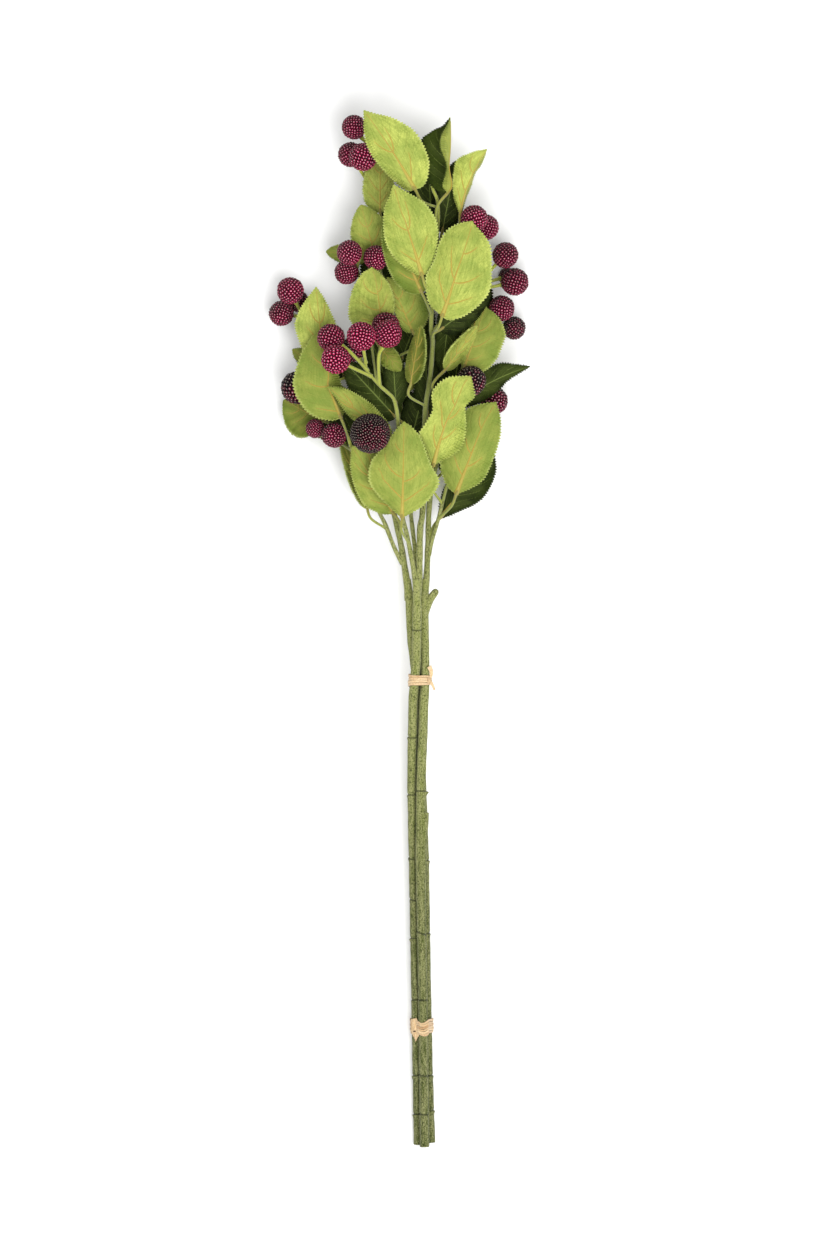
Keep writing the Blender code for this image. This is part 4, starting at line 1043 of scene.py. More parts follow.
@dataclass
class LeafShape:
    """The surface of one leaf and the parts that are built on it."""

    leaf: Leaf
    chance: random.Random
    rows: int = 114
    half_columns: int = 9
    thickness: float = 0.6
    tooth_depth: float = 1.15
    tooth_steps: tuple[float, ...] = (-0.35, 0.3, 0.8)
    root_power: float = 0.45
    widest: float = 0.45
    end_half_widths: Spot = (0.6, 0.15)
    rim_crowding: float = 0.85
    quilt: float = 0.7
    quilt_reach: float = 2.4
    usual_length: float = 62.0
    midrib_end: float = 0.95
    midrib_points: int = 48
    vein_points: int = 20
    vein_starts: Point = (0.14, 0.36, 0.6)
    vein_length: float = 0.2
    ripples: float = 1.5
    ripple_skew: float = 1.7
    flutters: tuple[Spot, Spot] = ((0.45, 5.0), (0.25, 12.0))
    flutter_skew: float = 1.2
    crease: float = 0.16
    creases: float = 7.0
    crease_lean: float = 2.6
    puff: float = 0.7
    dark_puff: float = -0.6
    rib_sides: int = 8
    midrib_half_widths: Spot = (0.24, 1.25)
    vein_half_widths: Spot = (0.18, 0.34)
    across: np.ndarray = field(init=False)
    along: np.ndarray = field(init=False)
    veins: list[tuple[np.ndarray, np.ndarray]] = field(init=False)
    nearness: np.ndarray = field(init=False)
    grid: np.ndarray = field(init=False)
    facing: np.ndarray = field(init=False)

    def __post_init__(self) -> None:
        """Work out the middle surface of the blade and which way it faces."""
        half = np.linspace(0.0, 1.0, self.half_columns + 1) ** self.rim_crowding
        self.across = np.concatenate((-half[:0:-1], half))
        self.along = np.linspace(0.0, 1.0, self.rows + 1)
        self.veins = self.vein_paths()
        plan = self.plan()
        spots = np.vstack([self.pick(plan, along, across) for along, across in self.veins])
        gaps = np.linalg.norm(plan[:, :, None, :] - spots[None, None, :, :], axis=-1).min(axis=-1)
        self.nearness = np.exp(-(gaps / self.quilt_reach) ** 2)
        self.grid = self.surface(plan)
        sideways, ahead = np.gradient(self.grid, axis=1), np.gradient(self.grid, axis=0)
        self.facing = unit(np.cross(sideways, ahead))

    def outline(self, along: np.ndarray) -> np.ndarray:
        """Share of the full half width at shares of the length."""
        inside = np.clip(along, 0.0, 1.0)
        root = (inside / self.widest) ** self.root_power
        return root * ((1.0 - inside) / (1.0 - self.widest)) ** self.leaf.taper

    def vein_paths(self) -> list[tuple[np.ndarray, np.ndarray]]:
        """Where the midrib and then each side vein runs, in shares of the length and of the half width."""
        middle = np.linspace(0.0, self.midrib_end, self.midrib_points)
        paths = [(middle, np.zeros_like(middle))]
        ribs = self.leaf.ribs or tuple(
            (start + self.chance.uniform(-0.03, 0.03), start + self.vein_length,
             side * self.chance.uniform(0.5, 0.7))
            for start in self.vein_starts for side in (1.0, -1.0))
        for start, end, out in ribs:
            share = np.linspace(0.0, 1.0, self.vein_points)
            paths.append((start + (end - start) * share ** 1.4, out * share ** 0.9))
        return paths

    def plan(self) -> np.ndarray:
        """Where the surface's points lie seen from above.

        Returns:
            An array of rows by columns by two.
        """
        leaf = self.leaf
        base, tip = np.array(leaf.base[:2]), np.array(leaf.tip[:2])
        heading = unit(tip - base)
        leftward = np.array((-heading[1], heading[0]))
        count = self.rows + 1
        middle = smooth_through((base, *leaf.midrib, tip), count)
        if not leaf.midrib:
            middle = middle + leftward * (leaf.bow * 4.0 * self.along * (1.0 - self.along))[:, None]
        least = self.end_half_widths[0] + (self.end_half_widths[1] - self.end_half_widths[0]) * self.along
        teeth = self.teeth()
        made = np.empty((count, len(self.across), 2))
        for sign, edge, (reach, _), way in ((-1.0, leaf.left_edge, leaf.left, leftward),
                                            (1.0, leaf.right_edge, leaf.right, -leftward)):
            if edge:
                out = smooth_through((base, *edge, tip), count) - middle
            else:
                out = way * (reach * self.outline(self.along))[:, None]
            size = np.linalg.norm(out, axis=1)
            course = np.where((size > 0.3)[:, None], unit(out), way * (1.0 if reach >= 0.0 else -1.0))
            out = course * (np.maximum(size, least) + teeth)[:, None]
            chosen = self.across * sign >= 0.0
            shares = np.abs(self.across[chosen])[None, :, None]
            made[:, chosen] = middle[:, None, :] + out[:, None, :] * shares
        return made

    def teeth(self) -> np.ndarray:
        """How far the margin stands out at each row: small teeth that lean to the tip."""
        saw = np.array(self.tooth_steps)[np.arange(self.rows + 1) % len(self.tooth_steps)]
        jitter = np.array([self.chance.uniform(0.65, 1.2) for _ in saw])
        fade = np.clip(self.along / 0.1, 0.0, 1.0) * np.clip((1.0 - self.along) / 0.06, 0.0, 1.0)
        return saw * jitter * self.tooth_depth * fade

    def surface(self, plan: np.ndarray) -> np.ndarray:
        """The middle surface of the blade, in millimetres.

        Args:
            plan: Where its points lie seen from above.

        Returns:
            An array of rows by columns by three.
        """
        leaf = self.leaf
        base, tip = np.array(leaf.base), np.array(leaf.tip)
        span = (tip - base)[:2]
        share = np.clip((plan - base[:2]) @ span / span.dot(span), 0.0, 1.0)
        across = np.broadcast_to(self.across[None, :], share.shape)
        out = np.abs(across)
        rise = np.where(across < 0.0, leaf.left[1], leaf.right[1])
        phase = self.chance.uniform(0.0, math.tau)
        (broad, broad_count), (narrow, narrow_count) = self.flutters
        fine = broad * np.sin(math.tau * broad_count * share + phase + self.flutter_skew * across)
        fine = fine + narrow * np.sin(math.tau * narrow_count * share + 2.0 * phase)
        wave = leaf.wave * np.sin(math.tau * self.ripples * share + self.ripple_skew * across)
        ripple = (wave + fine) * across * across
        slanted = self.creases * share - self.crease_lean * out
        crease = self.crease * np.sin(math.tau * slanted + phase) * out
        way = 1.0 if leaf.side is Side.PALE else self.dark_puff
        puff = self.puff * np.sin(math.pi * out) * self.outline(share) * way
        height = base[2] + (tip[2] - base[2]) * share + leaf.arch * 4.0 * share * (1.0 - share)
        height = height + (rise + ripple) * out * self.outline(share) + puff + crease
        height = height - self.quilt * self.nearness
        return np.dstack((plan, height))

    def pick(self, values: np.ndarray, along: np.ndarray, across: np.ndarray) -> np.ndarray:
        """Values between the surface's points.

        Args:
            values: An array of rows by columns by any number.
            along: Shares of the leaf's length.
            across: Places from -1 on the left margin to 1 on the right one.

        Returns:
            One row of values for each place.
        """
        row = np.clip(along * self.rows, 0.0, self.rows - 0.001)
        last = len(self.across) - 1
        column = np.clip(np.interp(across, self.across, np.arange(last + 1)), 0.0, last - 0.001)
        low_row, low_column = row.astype(int), column.astype(int)
        part_row, part_column = (row - low_row)[:, None], (column - low_column)[:, None]
        near, far = (values[level, low_column] * (1 - part_column)
                     + values[level, low_column + 1] * part_column for level in (low_row, low_row + 1))
        return near * (1 - part_row) + far * part_row

    def add_blade(self, piece: Piece) -> None:
        """Add the blade as a closed sheet with its two sides in their own finishes.

        Args:
            piece: What it is added to. Its slots count through the pale side, the dark side and the ribs.
        """
        rows, columns = self.grid.shape[:2]
        total = rows * columns
        offset = self.facing * self.thickness / 2.0
        sheets = (self.grid + offset).reshape(-1, 3), (self.grid - offset).reshape(-1, 3)
        seed = self.chance.uniform(0.0, 60.0)
        grain = np.dstack((np.broadcast_to(self.across[None, :], (rows, columns)),
                           np.broadcast_to(self.along[:, None], (rows, columns)),
                           np.full((rows, columns), seed))).reshape(-1, 3)
        # Painted light across the blade by lean, on a tone that is partly painted shade
        tone = self.leaf.tone + self.chance.uniform(-0.05, 0.05) + self.leaf.lean * grain[:, 0]
        mark = self.nearness.reshape(-1)
        seen = self.leaf.side.value
        quads = [(row * columns + column, row * columns + column + 1, (row + 1) * columns + column + 1,
                  (row + 1) * columns + column) for row in range(rows - 1) for column in range(columns - 1)]
        border = [row * columns for row in range(rows - 1, -1, -1)] + list(range(1, columns))
        border += [row * columns + columns - 1 for row in range(1, rows)]
        border += [(rows - 1) * columns + column for column in range(columns - 2, 0, -1)]
        rim = [(here + total, after + total, after, here)
               for here, after in zip(border, border[1:] + border[:1])]
        under = [tuple(corner + total for corner in reversed(quad)) for quad in quads]
        piece.add(np.vstack(sheets), quads + rim, np.vstack((grain, grain)), np.tile(tone, 2),
                  np.tile(mark, 2), seen)
        piece.add_faces(under, 2 * total, 1 - seen)

    def add_ribs(self, piece: Piece) -> None:
        """Add the midrib and the side veins, raised on the pale side and half sunk in the blade.

        Args:
            piece: What they are added to.
        """
        leaf = self.leaf
        lift = 1.0 if leaf.side is Side.PALE else -1.0
        scale = float(np.linalg.norm(np.array(leaf.tip) - np.array(leaf.base))) / self.usual_length
        flank = np.abs(np.cos(np.linspace(0.0, math.tau, self.rib_sides, endpoint=False))) ** 2
        for number, (along, across) in enumerate(self.veins):
            points, normals = self.pick(self.grid, along, across), self.pick(self.facing, along, across)
            share = np.linspace(0.0, 1.0, len(points))
            if number == 0:
                taper = (1.0 - share) ** 2.4
                wide = (self.midrib_half_widths[0] + self.midrib_half_widths[1] * taper) * scale
                low = np.clip(1.0 - 2.0 * share, 0.0, 1.0)[:, None]
                mark = low * flank[None, :] + (1.0 - low) * 0.75
            else:
                swell = np.sin(math.pi * share ** 0.6)
                wide = (self.vein_half_widths[0] + self.vein_half_widths[1] * swell) * scale
                mark = np.full(len(points), 0.7)
            path = points + normals * lift * self.thickness * 0.45
            piece.add_tube(path, wide, 0.22 + wide * 0.42, self.rib_sides, np.full(len(points), leaf.tone),
                           mark, RIB_SLOT, normals, phase=self.chance.uniform(0.0, 90.0))


@dataclass
class LeafyStem:
    """One leafy stem: its main stem, twigs and stalks in one piece, and its leaves in two more."""

    name: str
    layout: random.Random
    chance: random.Random
    stem_sides: int = 20
    twig_sides: int = 12
    stalk_sides: int = 8
    stalk_radius: float = 0.85
    berry_stalk_radius: float = 1.2
    stalk_sunk: float = 3.5
    knee_share: float = 0.4
    berry_gap: float = 0.1
    # Painted shade between the main stems: how far it reaches and how dark it gets
    shade_reach: float = 1.3
    shade_share: float = 0.92
    smooth_from: float = 84.0
    stations: int = 170
    lip_step: float = 0.4
    lip_least: float = 0.16
    neck_depth: float = 0.4
    top_taper: Spot = (22.0, 0.74)
    end_rises: tuple[float, ...] = (0.0, 0.04, 0.08, 0.6)
    end_shares: tuple[float, ...] = (0.3, 0.34, 0.9, 1.0)
    tone_places: tuple[float, ...] = (-300.0, -180.0, -85.0, 0.0, 60.0)
    tones: tuple[float, ...] = (0.0, 0.06, 0.36, 0.5, 0.7)
    twig_step: float = 2.2
    stub_shares: tuple[float, ...] = (1.02, 1.0, 0.9, 0.55)

    def back_leaves(self) -> list[Leaf]:
        """Leaves on the back, which leave their twig to one side and droop to the surface."""
        twig, places = BACK_LEAVES[self.name]
        path = TWIGS[self.name][twig]
        made = []
        for place, turn, half in places:
            start = place_on_twig(path, place)
            ahead = place_on_twig(path, place + BACK_HEADING_REACH) - start
            angle = math.atan2(ahead[1], ahead[0]) + math.radians(turn + self.layout.uniform(-2.0, 2.0))
            heading = np.array((math.cos(angle), math.sin(angle)))
            length = BACK_LENGTH * self.layout.uniform(0.9, 1.02)
            base = start[:2] + heading * BACK_STALK
            tip = base + heading * length
            made.append(Leaf((*base, BACK_BASE_HEIGHT), (*tip, BACK_TIP_HEIGHT), (half, 1.5), (half, 1.5),
                             twig, place, arch=-1.0, wave=0.6, side=Side.DARK, tone=0.35))
        return made

    def build(self, finishes: dict[str, bpy.types.Material]) -> list[bpy.types.Object]:
        """Build the stem.

        Args:
            finishes: The materials by name.

        Returns:
            The wood, the leaves whose pale side is up and the leaves whose dark side is up.
        """
        wood = Piece(f"{self.name}_stem_and_stalks")
        leaves = {side: Piece(f"{self.name}_{side.name.lower()}_leaves") for side in Side}
        self.add_main_stem(wood)
        for name, path in TWIGS[self.name].items():
            self.add_twig(wood, name, path)
        for leaf in LEAVES[self.name]:
            self.add_leaf(wood, leaves[leaf.side], LeafShape(leaf, self.chance))
        for leaf in self.back_leaves():
            shape = LeafShape(leaf, self.chance, rows=78, half_columns=6)
            self.add_leaf(wood, leaves[leaf.side], shape)
        for berry in BERRIES.values():
            if berry.twig in TWIGS[self.name]:
                self.add_berry_stalk(wood, berry)
        blades = finishes["pale"], finishes["dark"], finishes["rib"]
        return [wood.build((finishes["stem"], finishes["stalk"]))] + [
            piece.build(blades, 60.0) for piece in leaves.values()]

    def add_leaf(self, wood: Piece, leaves: Piece, shape: LeafShape) -> None:
        """Add a leaf with its stalk.

        Args:
            wood: The piece that takes the stalk.
            leaves: The piece that takes the blade and its ribs.
            shape: The leaf's shape.
        """
        shape.add_blade(leaves)
        shape.add_ribs(leaves)
        self.add_leaf_stalk(wood, shape)

    def add_main_stem(self, piece: Piece) -> None:
        """Add the main stem, with a lip and a dark slanted scar at each leaf joint, and its cut end."""
        around, cut, joints = STEMS[self.name]
        top = BUNDLE[0].y
        near = [joint.y + offset for joint in joints
                for offset in np.arange(-joint.length - self.lip_step, 2.6, self.lip_step)]
        ends = [cut + rise for rise in self.end_rises]
        places = np.array(sorted({*np.linspace(ends[-1], top, self.stations).tolist(), *near, *ends[:-1]}))
        turns = np.linspace(0.0, math.tau, self.stem_sides, endpoint=False)[None, :]
        y = places[:, None]
        radii = STEM_RADIUS + 0.06 * np.sin(y * 0.21 + around + turns) + 0.05 * np.sin(y * 0.53 - 2.0 * turns)
        # Painted shade where the stem lies close to the two others, near black from the stem's mark colour
        mark = self.painted_gap_shade(around, places, turns)
        for joint in joints:
            lean = np.cos(turns - math.radians(joint.way))
            apart = y - joint.y - joint.slant * np.sin(turns - math.radians(joint.way))
            lip = np.clip(1.0 + apart / joint.length, 0.0, 1.0) ** 2 * np.clip(1.0 - apart / 0.5, 0.0, 1.0)
            radii = radii + lip * (self.lip_least + joint.out * np.clip(lean, 0.0, 1.0) ** 2)
            radii = radii - self.neck_depth * joint.ring * np.exp(-((apart - 0.9) / 0.6) ** 2)
            mark = np.maximum(mark, joint.ring * np.exp(-((apart - 0.6) / 0.5) ** 2))
        radii = radii * np.interp(places, (top - self.top_taper[0], top), (1.0, self.top_taper[1]))[:, None]
        radii = radii * np.interp(places, ends, self.end_shares)[:, None]
        mark = np.maximum(mark, np.where(y - cut < 0.05, 0.9, 0.0))
        path = np.array([(spot[0], y, spot[1]) for y, spot in ((y, stem_centre(around, y)) for y in places)])
        tone = np.interp(places, self.tone_places, self.tones)
        piece.add_tube(path, radii, radii, self.stem_sides, tone, mark, phase=around * 3.0)

    def painted_gap_shade(self, around: float, places: np.ndarray, turns: np.ndarray) -> np.ndarray:
        """How close each point of a main stem lies to the two others, where shade between the stems is
        painted.

        Args:
            around: The stem's place round the bundle.
            places: The stations along it.
            turns: The angles of a ring's points, as one row.

        Returns:
            An array of stations by points.
        """
        ways = np.stack((np.cos(turns[0]), np.sin(turns[0])), axis=-1)[None, :, :] * STEM_RADIUS
        own = np.array([stem_centre(around, y) for y in places])[:, None, :] + ways
        mark = np.zeros(own.shape[:2])
        for other, _, _ in STEMS.values():
            if other != around:
                centres = np.array([stem_centre(other, y) for y in places])[:, None, :]
                gap = np.maximum(np.linalg.norm(own - centres, axis=-1) - STEM_RADIUS, 0.0)
                mark = np.maximum(mark, self.shade_share * np.exp(-(gap / self.shade_reach) ** 2))
        return mark

    def add_twig(self, piece: Piece, name: str, path: Sequence[Sequence[float]]) -> None:
        """Add a twig as a tube through its points, or the cut stub with its rounded end.

        From smooth_from on, its rings take the stalks' smooth green finish in place of the flocked one.

        Args:
            piece: What it is added to.
            name: The twig's name.
            path: Its points and half thicknesses.
        """
        stub = name.endswith("stub")
        count = 18 if stub else max(12, int(abs(path[-1][1] - path[0][1]) / self.twig_step))
        points = smooth_through(path, count)
        share = np.linspace(0.0, 1.0, count)
        radii = points[:, 3] * (1.0 + 0.05 * np.sin(points[:, 1] * 0.4))
        mark = np.zeros(count)
        if stub:
            radii[-4:] *= np.array(self.stub_shares)
            mark[-1] = 0.5
        else:
            radii = radii * (1.0 + 0.22 * np.exp(-(share / 0.04) ** 2))
            radii[-1] *= 0.6
        smooth = points[:, 1] > self.smooth_from
        tone = np.where(smooth, 0.04 + 0.6 * share ** 3, 0.55)
        first = len(piece.slots)
        piece.add_tube(points[:, :3], radii, radii, self.twig_sides, tone, mark,
                       phase=self.chance.uniform(0.0, 200.0))
        for row in np.flatnonzero(smooth[:-1]):
            start = first + int(row) * self.twig_sides
            piece.slots[start:start + self.twig_sides] = [STALK_SLOT] * self.twig_sides

    def add_leaf_stalk(self, piece: Piece, shape: LeafShape) -> None:
        """Add the stalk from a twig into the midrib, browner where it meets the blade.

        Args:
            piece: What it is added to.
            shape: The leaf that it carries.
        """
        leaf = shape.leaf
        start = place_on_twig(TWIGS[self.name][leaf.twig], leaf.leaves_at)
        base = np.array(leaf.base)
        inward = unit(shape.grid[8, shape.half_columns] - base)
        knee = base - inward * np.linalg.norm(base - start) * self.knee_share
        path = smooth_through((start, knee, base, base + inward * self.stalk_sunk), 20)
        share = np.linspace(0.0, 1.0, len(path))
        radii = self.stalk_radius * (1.0 + 0.3 * share ** 3 + 0.35 * np.exp(-(share / 0.1) ** 2))
        radii[-1] *= 0.5
        mark = 0.6 * np.clip((share - 0.55) / 0.4, 0.0, 1.0)
        tone = np.full(len(path), 0.15 + 0.4 * leaf.tone)
        piece.add_tube(path, radii, radii, self.stalk_sides, tone, mark, STALK_SLOT,
                       phase=self.chance.uniform(0.0, 200.0))

    def add_berry_stalk(self, piece: Piece, berry: Berry) -> None:
        """Add the stalk from a twig to just inside its berry, with a small collar under the berry.

        Args:
            piece: What it is added to.
            berry: The berry that it carries.
        """
        start = place_on_twig(TWIGS[self.name][berry.twig], berry.leaves_at)
        stops = [start] + ([np.array(berry.via)] if berry.via else [])
        centre = np.array(berry.centre)
        inward = unit(centre - stops[-1])
        stops.append(centre - inward * (berry.diameter / 2.0 - self.berry_gap))
        path = smooth_through(stops, 18)
        share = np.linspace(0.0, 1.0, len(path))
        swell = 0.95 + 0.55 * np.exp(-((share - 1.0) / 0.07) ** 2) + 0.35 * np.exp(-(share / 0.12) ** 2)
        radii = self.berry_stalk_radius * swell
        piece.add_tube(path, radii, radii, self.stalk_sides, 0.55 + 0.45 * share, np.zeros(len(path)),
                       STALK_SLOT, phase=self.chance.uniform(0.0, 200.0))


# Berries

@dataclass
class BeadedBall:
    """A ball of packed round beads, worked out once at a radius of one and used for every berry."""

    beads: int
    gap_level: float = 0.84
    loose: float = 0.046
    loose_beads: float = 190.0
    rings: tuple[Point, ...] = ((0.14, 0.915, 0.3), (0.4, 0.972, 0.66), (0.72, 0.996, 0.9))
    points: np.ndarray = field(init=False)
    bead: np.ndarray = field(init=False)
    crown: np.ndarray = field(init=False)
    faces: list[tuple[int, ...]] = field(init=False)

    def __post_init__(self) -> None:
        """Spread the bead centres evenly but loosely, and raise a dome over each one's cell."""
        chance = random.Random(self.beads)
        steps = np.arange(self.beads) + 0.5
        polar = np.arccos(1.0 - 2.0 * steps / self.beads)
        turn = math.pi * (1.0 + math.sqrt(5.0)) * steps
        centres = np.column_stack((np.cos(turn) * np.sin(polar), np.sin(turn) * np.sin(polar), np.cos(polar)))
        reach = self.loose * math.sqrt(self.loose_beads / self.beads)
        shifts = np.array([[chance.uniform(-reach, reach) for _ in range(3)] for _ in centres])
        centres = unit(centres + shifts)
        work = bmesh.new()
        for centre in centres:
            work.verts.new(centre)
        bmesh.ops.convex_hull(work, input=work.verts)
        work.verts.index_update()
        work.faces.ensure_lookup_table()
        corners = unit(np.array([sum((vertex.co for vertex in face.verts), Vector()) for face in work.faces]))
        cells: list[list[int]] = [[] for _ in centres]
        for number, face in enumerate(work.faces):
            for vertex in face.verts:
                cells[vertex.index].append(number)
        order = [np.array(vertex.co) for vertex in work.verts]
        work.free()
        points, crown = [corners * self.gap_level], [np.zeros(len(corners))]
        owner = [np.full(len(corners), -1.0)]
        self.faces = []
        count = len(corners)
        for number, (centre, cell) in enumerate(zip(order, cells)):
            side = unit(np.cross(centre, (0.31, 0.52, 0.79)))
            up = np.cross(centre, side)
            angles = [math.atan2(corners[c].dot(up), corners[c].dot(side)) for c in cell]
            ring = [corner for _, corner in sorted(zip(angles, cell))]
            size = len(ring)
            levels = [ring]
            for share, level, height in self.rings:
                points.append(unit(corners[ring] * (1.0 - share) + centre * share) * level)
                crown.append(np.full(size, height))
                levels.append(list(range(count, count + size)))
                count += size
            points.append(centre[None, :])
            crown.append(np.ones(1))
            owner.append(np.full(size * len(self.rings) + 1, float(number)))
            for step in range(size):
                after = (step + 1) % size
                self.faces.extend((low[step], low[after], high[after], high[step])
                                  for low, high in zip(levels, levels[1:]))
                self.faces.append((levels[-1][step], levels[-1][after], count))
            count += 1
        self.points = np.vstack(points)
        self.crown = np.concatenate(crown)
        self.bead = np.concatenate(owner)


@dataclass
class BerryShop:
    """Makes the berries from two beaded balls, a usual one and a finer one for large berries."""

    chance: random.Random
    usual: BeadedBall = field(default_factory=lambda: BeadedBall(235))
    finer: BeadedBall = field(default_factory=lambda: BeadedBall(640))
    large: float = 24.0
    flat_depth: float = 0.9
    # Painted light: each berry is painted pinker on the side facing this way, darker away from it and at its
    # rim
    painted_light_side: Point = (0.2, -0.5, 0.85)
    painted_light_share: float = 0.42
    painted_light_mean: float = 0.55
    bead_sizes: Spot = (0.965, 1.0)
    bead_shades: Spot = (-0.22, 0.2)

    def build(self, name: str, berry: Berry, finish: bpy.types.Material) -> bpy.types.Object:
        """Build one berry.

        Args:
            name: The berry's name.
            berry: Its place, size and ripeness.
            finish: The bead material.

        Returns:
            The new object.
        """
        ball = self.finer if berry.diameter > self.large else self.usual
        turn = np.array(Euler([self.chance.uniform(0.0, math.pi) for _ in range(3)]).to_matrix())
        sizes = np.array([self.chance.uniform(*self.bead_sizes) for _ in range(ball.beads)] + [1.0])
        shades = np.array([self.chance.uniform(*self.bead_shades) for _ in range(ball.beads)] + [0.0])
        which = ball.bead.astype(int)
        points = (ball.points * sizes[which][:, None]) @ turn.T * berry.diameter / 2.0
        centre = np.array(berry.centre)
        if berry.rests:
            centre[2] = berry.diameter / 2.0 - self.flat_depth
        points = points + centre
        points[:, 2] = np.maximum(points[:, 2], 0.0)
        piece = Piece(f"{name}_beads")
        # Painted light: the tone follows how far each point faces the lit side
        bright = unit(points - centre) @ unit(np.array(self.painted_light_side))
        tone = np.clip(berry.ripe + shades[which] + self.painted_light_share * (bright - self.painted_light_mean), 0.0, 1.0)
        piece.add(points, ball.faces, points - centre, tone, ball.crown)
        return piece.build((finish,), 180.0)


# Ties

# The lower tie's folded strand: rise from the tie's place, place across and half width; and its hole, as its
# place across from the strand's middle and its rise
FOLD = ((5.4, 9.8, 1.9), (2.0, 10.4, 2.5), (-2.0, 10.8, 2.7), (-5.4, 11.0, 2.1), (-7.6, 11.1, 1.0),
        (-9.6, 10.9, 0.2))
FOLD_HOLE = (-0.6, -2.9)


@dataclass(frozen=True)
class Wind:
    """The edges of a band of strands at one angle round the bundle, measured from the tie's place."""

    angle: float
    low: float
    high: float


@dataclass(frozen=True)
class Tail:
    """A loose strand end.

    points run sideways, along and out from the knot, and half_widths are at its two ends.
    """

    points: tuple[Point, ...]
    half_widths: Spot
    facing: Point


@dataclass
class RaffiaTie:
    """A tie of wound raffia strands, with its knot and tails."""

    name: str
    place: float
    winds: tuple[Wind, ...]
    strands: int
    knot_turn: float
    tails: tuple[Tail, ...]
    chance: random.Random
    fold: bool = False
    clearance: float = 0.35
    steps: int = 64
    strand_sides: int = 10
    strand_rise: float = 0.3
    second_layer: float = 0.25
    wander: float = 0.12
    overlap: float = 0.53
    half_thickness: float = 0.34

    def band_point(self, y: float, angle: float, clearance: float) -> np.ndarray:
        """Point of the outline that hugs the three main stems, in a direction round the bundle."""
        outward = np.array((math.cos(angle), math.sin(angle)))
        centres = [np.array(stem_centre(around, y)) for around, _, _ in STEMS.values()]
        nearest = max(centres, key=lambda centre: float(centre.dot(outward)))
        spot = nearest + outward * clearance
        return np.array((spot[0], y, spot[1]))

    def edges(self, turns: np.ndarray) -> tuple[np.ndarray, np.ndarray]:
        """The low and the high edge of the band at angles round the bundle."""
        angles = [wind.angle for wind in self.winds]
        lows, highs = [wind.low for wind in self.winds], [wind.high for wind in self.winds]
        return tuple(np.interp(np.degrees(turns), angles, edge, period=360.0) for edge in (lows, highs))

    def build(self, finish: bpy.types.Material) -> bpy.types.Object:
        """Build the tie.

        Args:
            finish: The raffia material.

        Returns:
            The new object.
        """
        piece = Piece(f"{self.name}_strands")
        for strand in range(self.strands):
            self.add_strand(piece, strand)
        if self.fold:
            self.add_fold(piece)
        else:
            self.add_knot(piece)
        for tail in self.tails:
            self.add_tail(piece, tail)
        return piece.build((finish,), 60.0)

    def add_strand(self, piece: Piece, strand: int) -> None:
        """Add one turn of a flat strand.

        Args:
            piece: What it is added to.
            strand: Its number, counted up from the cut ends.
        """
        turns = np.linspace(0.0, math.tau, self.steps, endpoint=False)
        low, high = self.edges(turns)
        phase = self.chance.uniform(0.0, math.tau)
        pitch = (high - low) / self.strands
        levels = self.place + low + pitch * (strand + 0.5 + self.wander * np.sin(2.0 * turns + phase))
        clearance = STEM_RADIUS + self.clearance + self.strand_rise + self.second_layer * (strand % 2)
        path = np.array([self.band_point(level, turn, clearance) for level, turn in zip(levels, turns)])
        path = smooth_through(np.vstack((path, path[:1])), self.steps + 1)[:-1]
        middle = path.mean(axis=0)
        outward = unit((path - middle) * (1.0, 0.0, 1.0))
        wide = pitch * self.overlap * (1.0 + 0.1 * np.sin(3.0 * turns + phase))
        high_half = self.half_thickness + 0.07 * np.sin(5.0 * turns + phase)
        tone = np.full(self.steps, self.chance.uniform(0.0, 1.0))
        # Painted shade along both edges of the strand, where it meets the next one
        edge = np.abs(np.cos(np.linspace(0.0, math.tau, self.strand_sides, endpoint=False)))
        mark = np.broadcast_to(np.clip(edge - 0.75, 0.0, 1.0)[None, :] * 2.4, (self.steps, self.strand_sides))
        piece.add_tube(path, wide, high_half, self.strand_sides, tone, mark, normals=outward,
                       phase=20.0 * strand, closed=True)

    def frame(self) -> tuple[np.ndarray, np.ndarray, np.ndarray]:
        """The knot's place, the way out from the bundle there, and the way sideways round it."""
        turn = math.radians(self.knot_turn)
        outward = np.array((math.cos(turn), 0.0, math.sin(turn)))
        knot = self.band_point(self.place, turn, STEM_RADIUS + self.clearance + 0.9)
        return knot, outward, np.cross((0.0, 1.0, 0.0), outward)

    def add_knot(self, piece: Piece) -> None:
        """Add the knot, two short loops over each other."""
        knot, outward, sideways = self.frame()
        along = np.array((0.0, 1.0, 0.0))
        for lean, tone in ((0.7, 0.9), (-0.7, 0.4)):
            way = unit(along + sideways * lean)
            stops = [knot - way * 2.3 - outward * 0.2, knot - way * 0.7 + outward * 0.5,
                     knot + way * 0.7 + outward * 0.5, knot + way * 2.3 - outward * 0.2]
            path = smooth_through(stops, 16)
            wide = 0.45 + 0.95 * np.sin(math.pi * np.linspace(0.05, 0.95, len(path)))
            piece.add_tube(path, wide, wide * 0.62, 10, np.full(len(path), tone), np.full(len(path), 0.1),
                           normals=np.tile(outward, (len(path), 1)))

    def add_tail(self, piece: Piece, tail: Tail) -> None:
        """Add a tail, flat and cut across at its end.

        Args:
            piece: What it is added to.
            tail: Its points and widths.
        """
        knot, outward, sideways = self.frame()
        stops = [knot + sideways * side + (0.0, reach, 0.0) + outward * out
                 for side, reach, out in tail.points]
        path = smooth_through(stops, 20)
        share = np.linspace(0.0, 1.0, len(path))
        wide = tail.half_widths[0] + (tail.half_widths[1] - tail.half_widths[0]) * share
        normals = np.tile(np.array(tail.facing), (len(path), 1))
        piece.add_tube(path, wide, np.full(len(path), 0.3), 10, np.full(len(path), 0.95), np.zeros(len(path)),
                       normals=normals, phase=self.chance.uniform(0.0, 50.0))

    def over(self, x: float, y: float) -> float:
        """The height of the outline over the stems at a place seen from above."""
        points = np.array([self.band_point(y, math.radians(turn), STEM_RADIUS + self.clearance + 1.0)
                           for turn in range(30, 181, 5)])
        order = np.argsort(points[:, 0])
        return float(np.interp(x, points[order, 0], points[order, 2]))

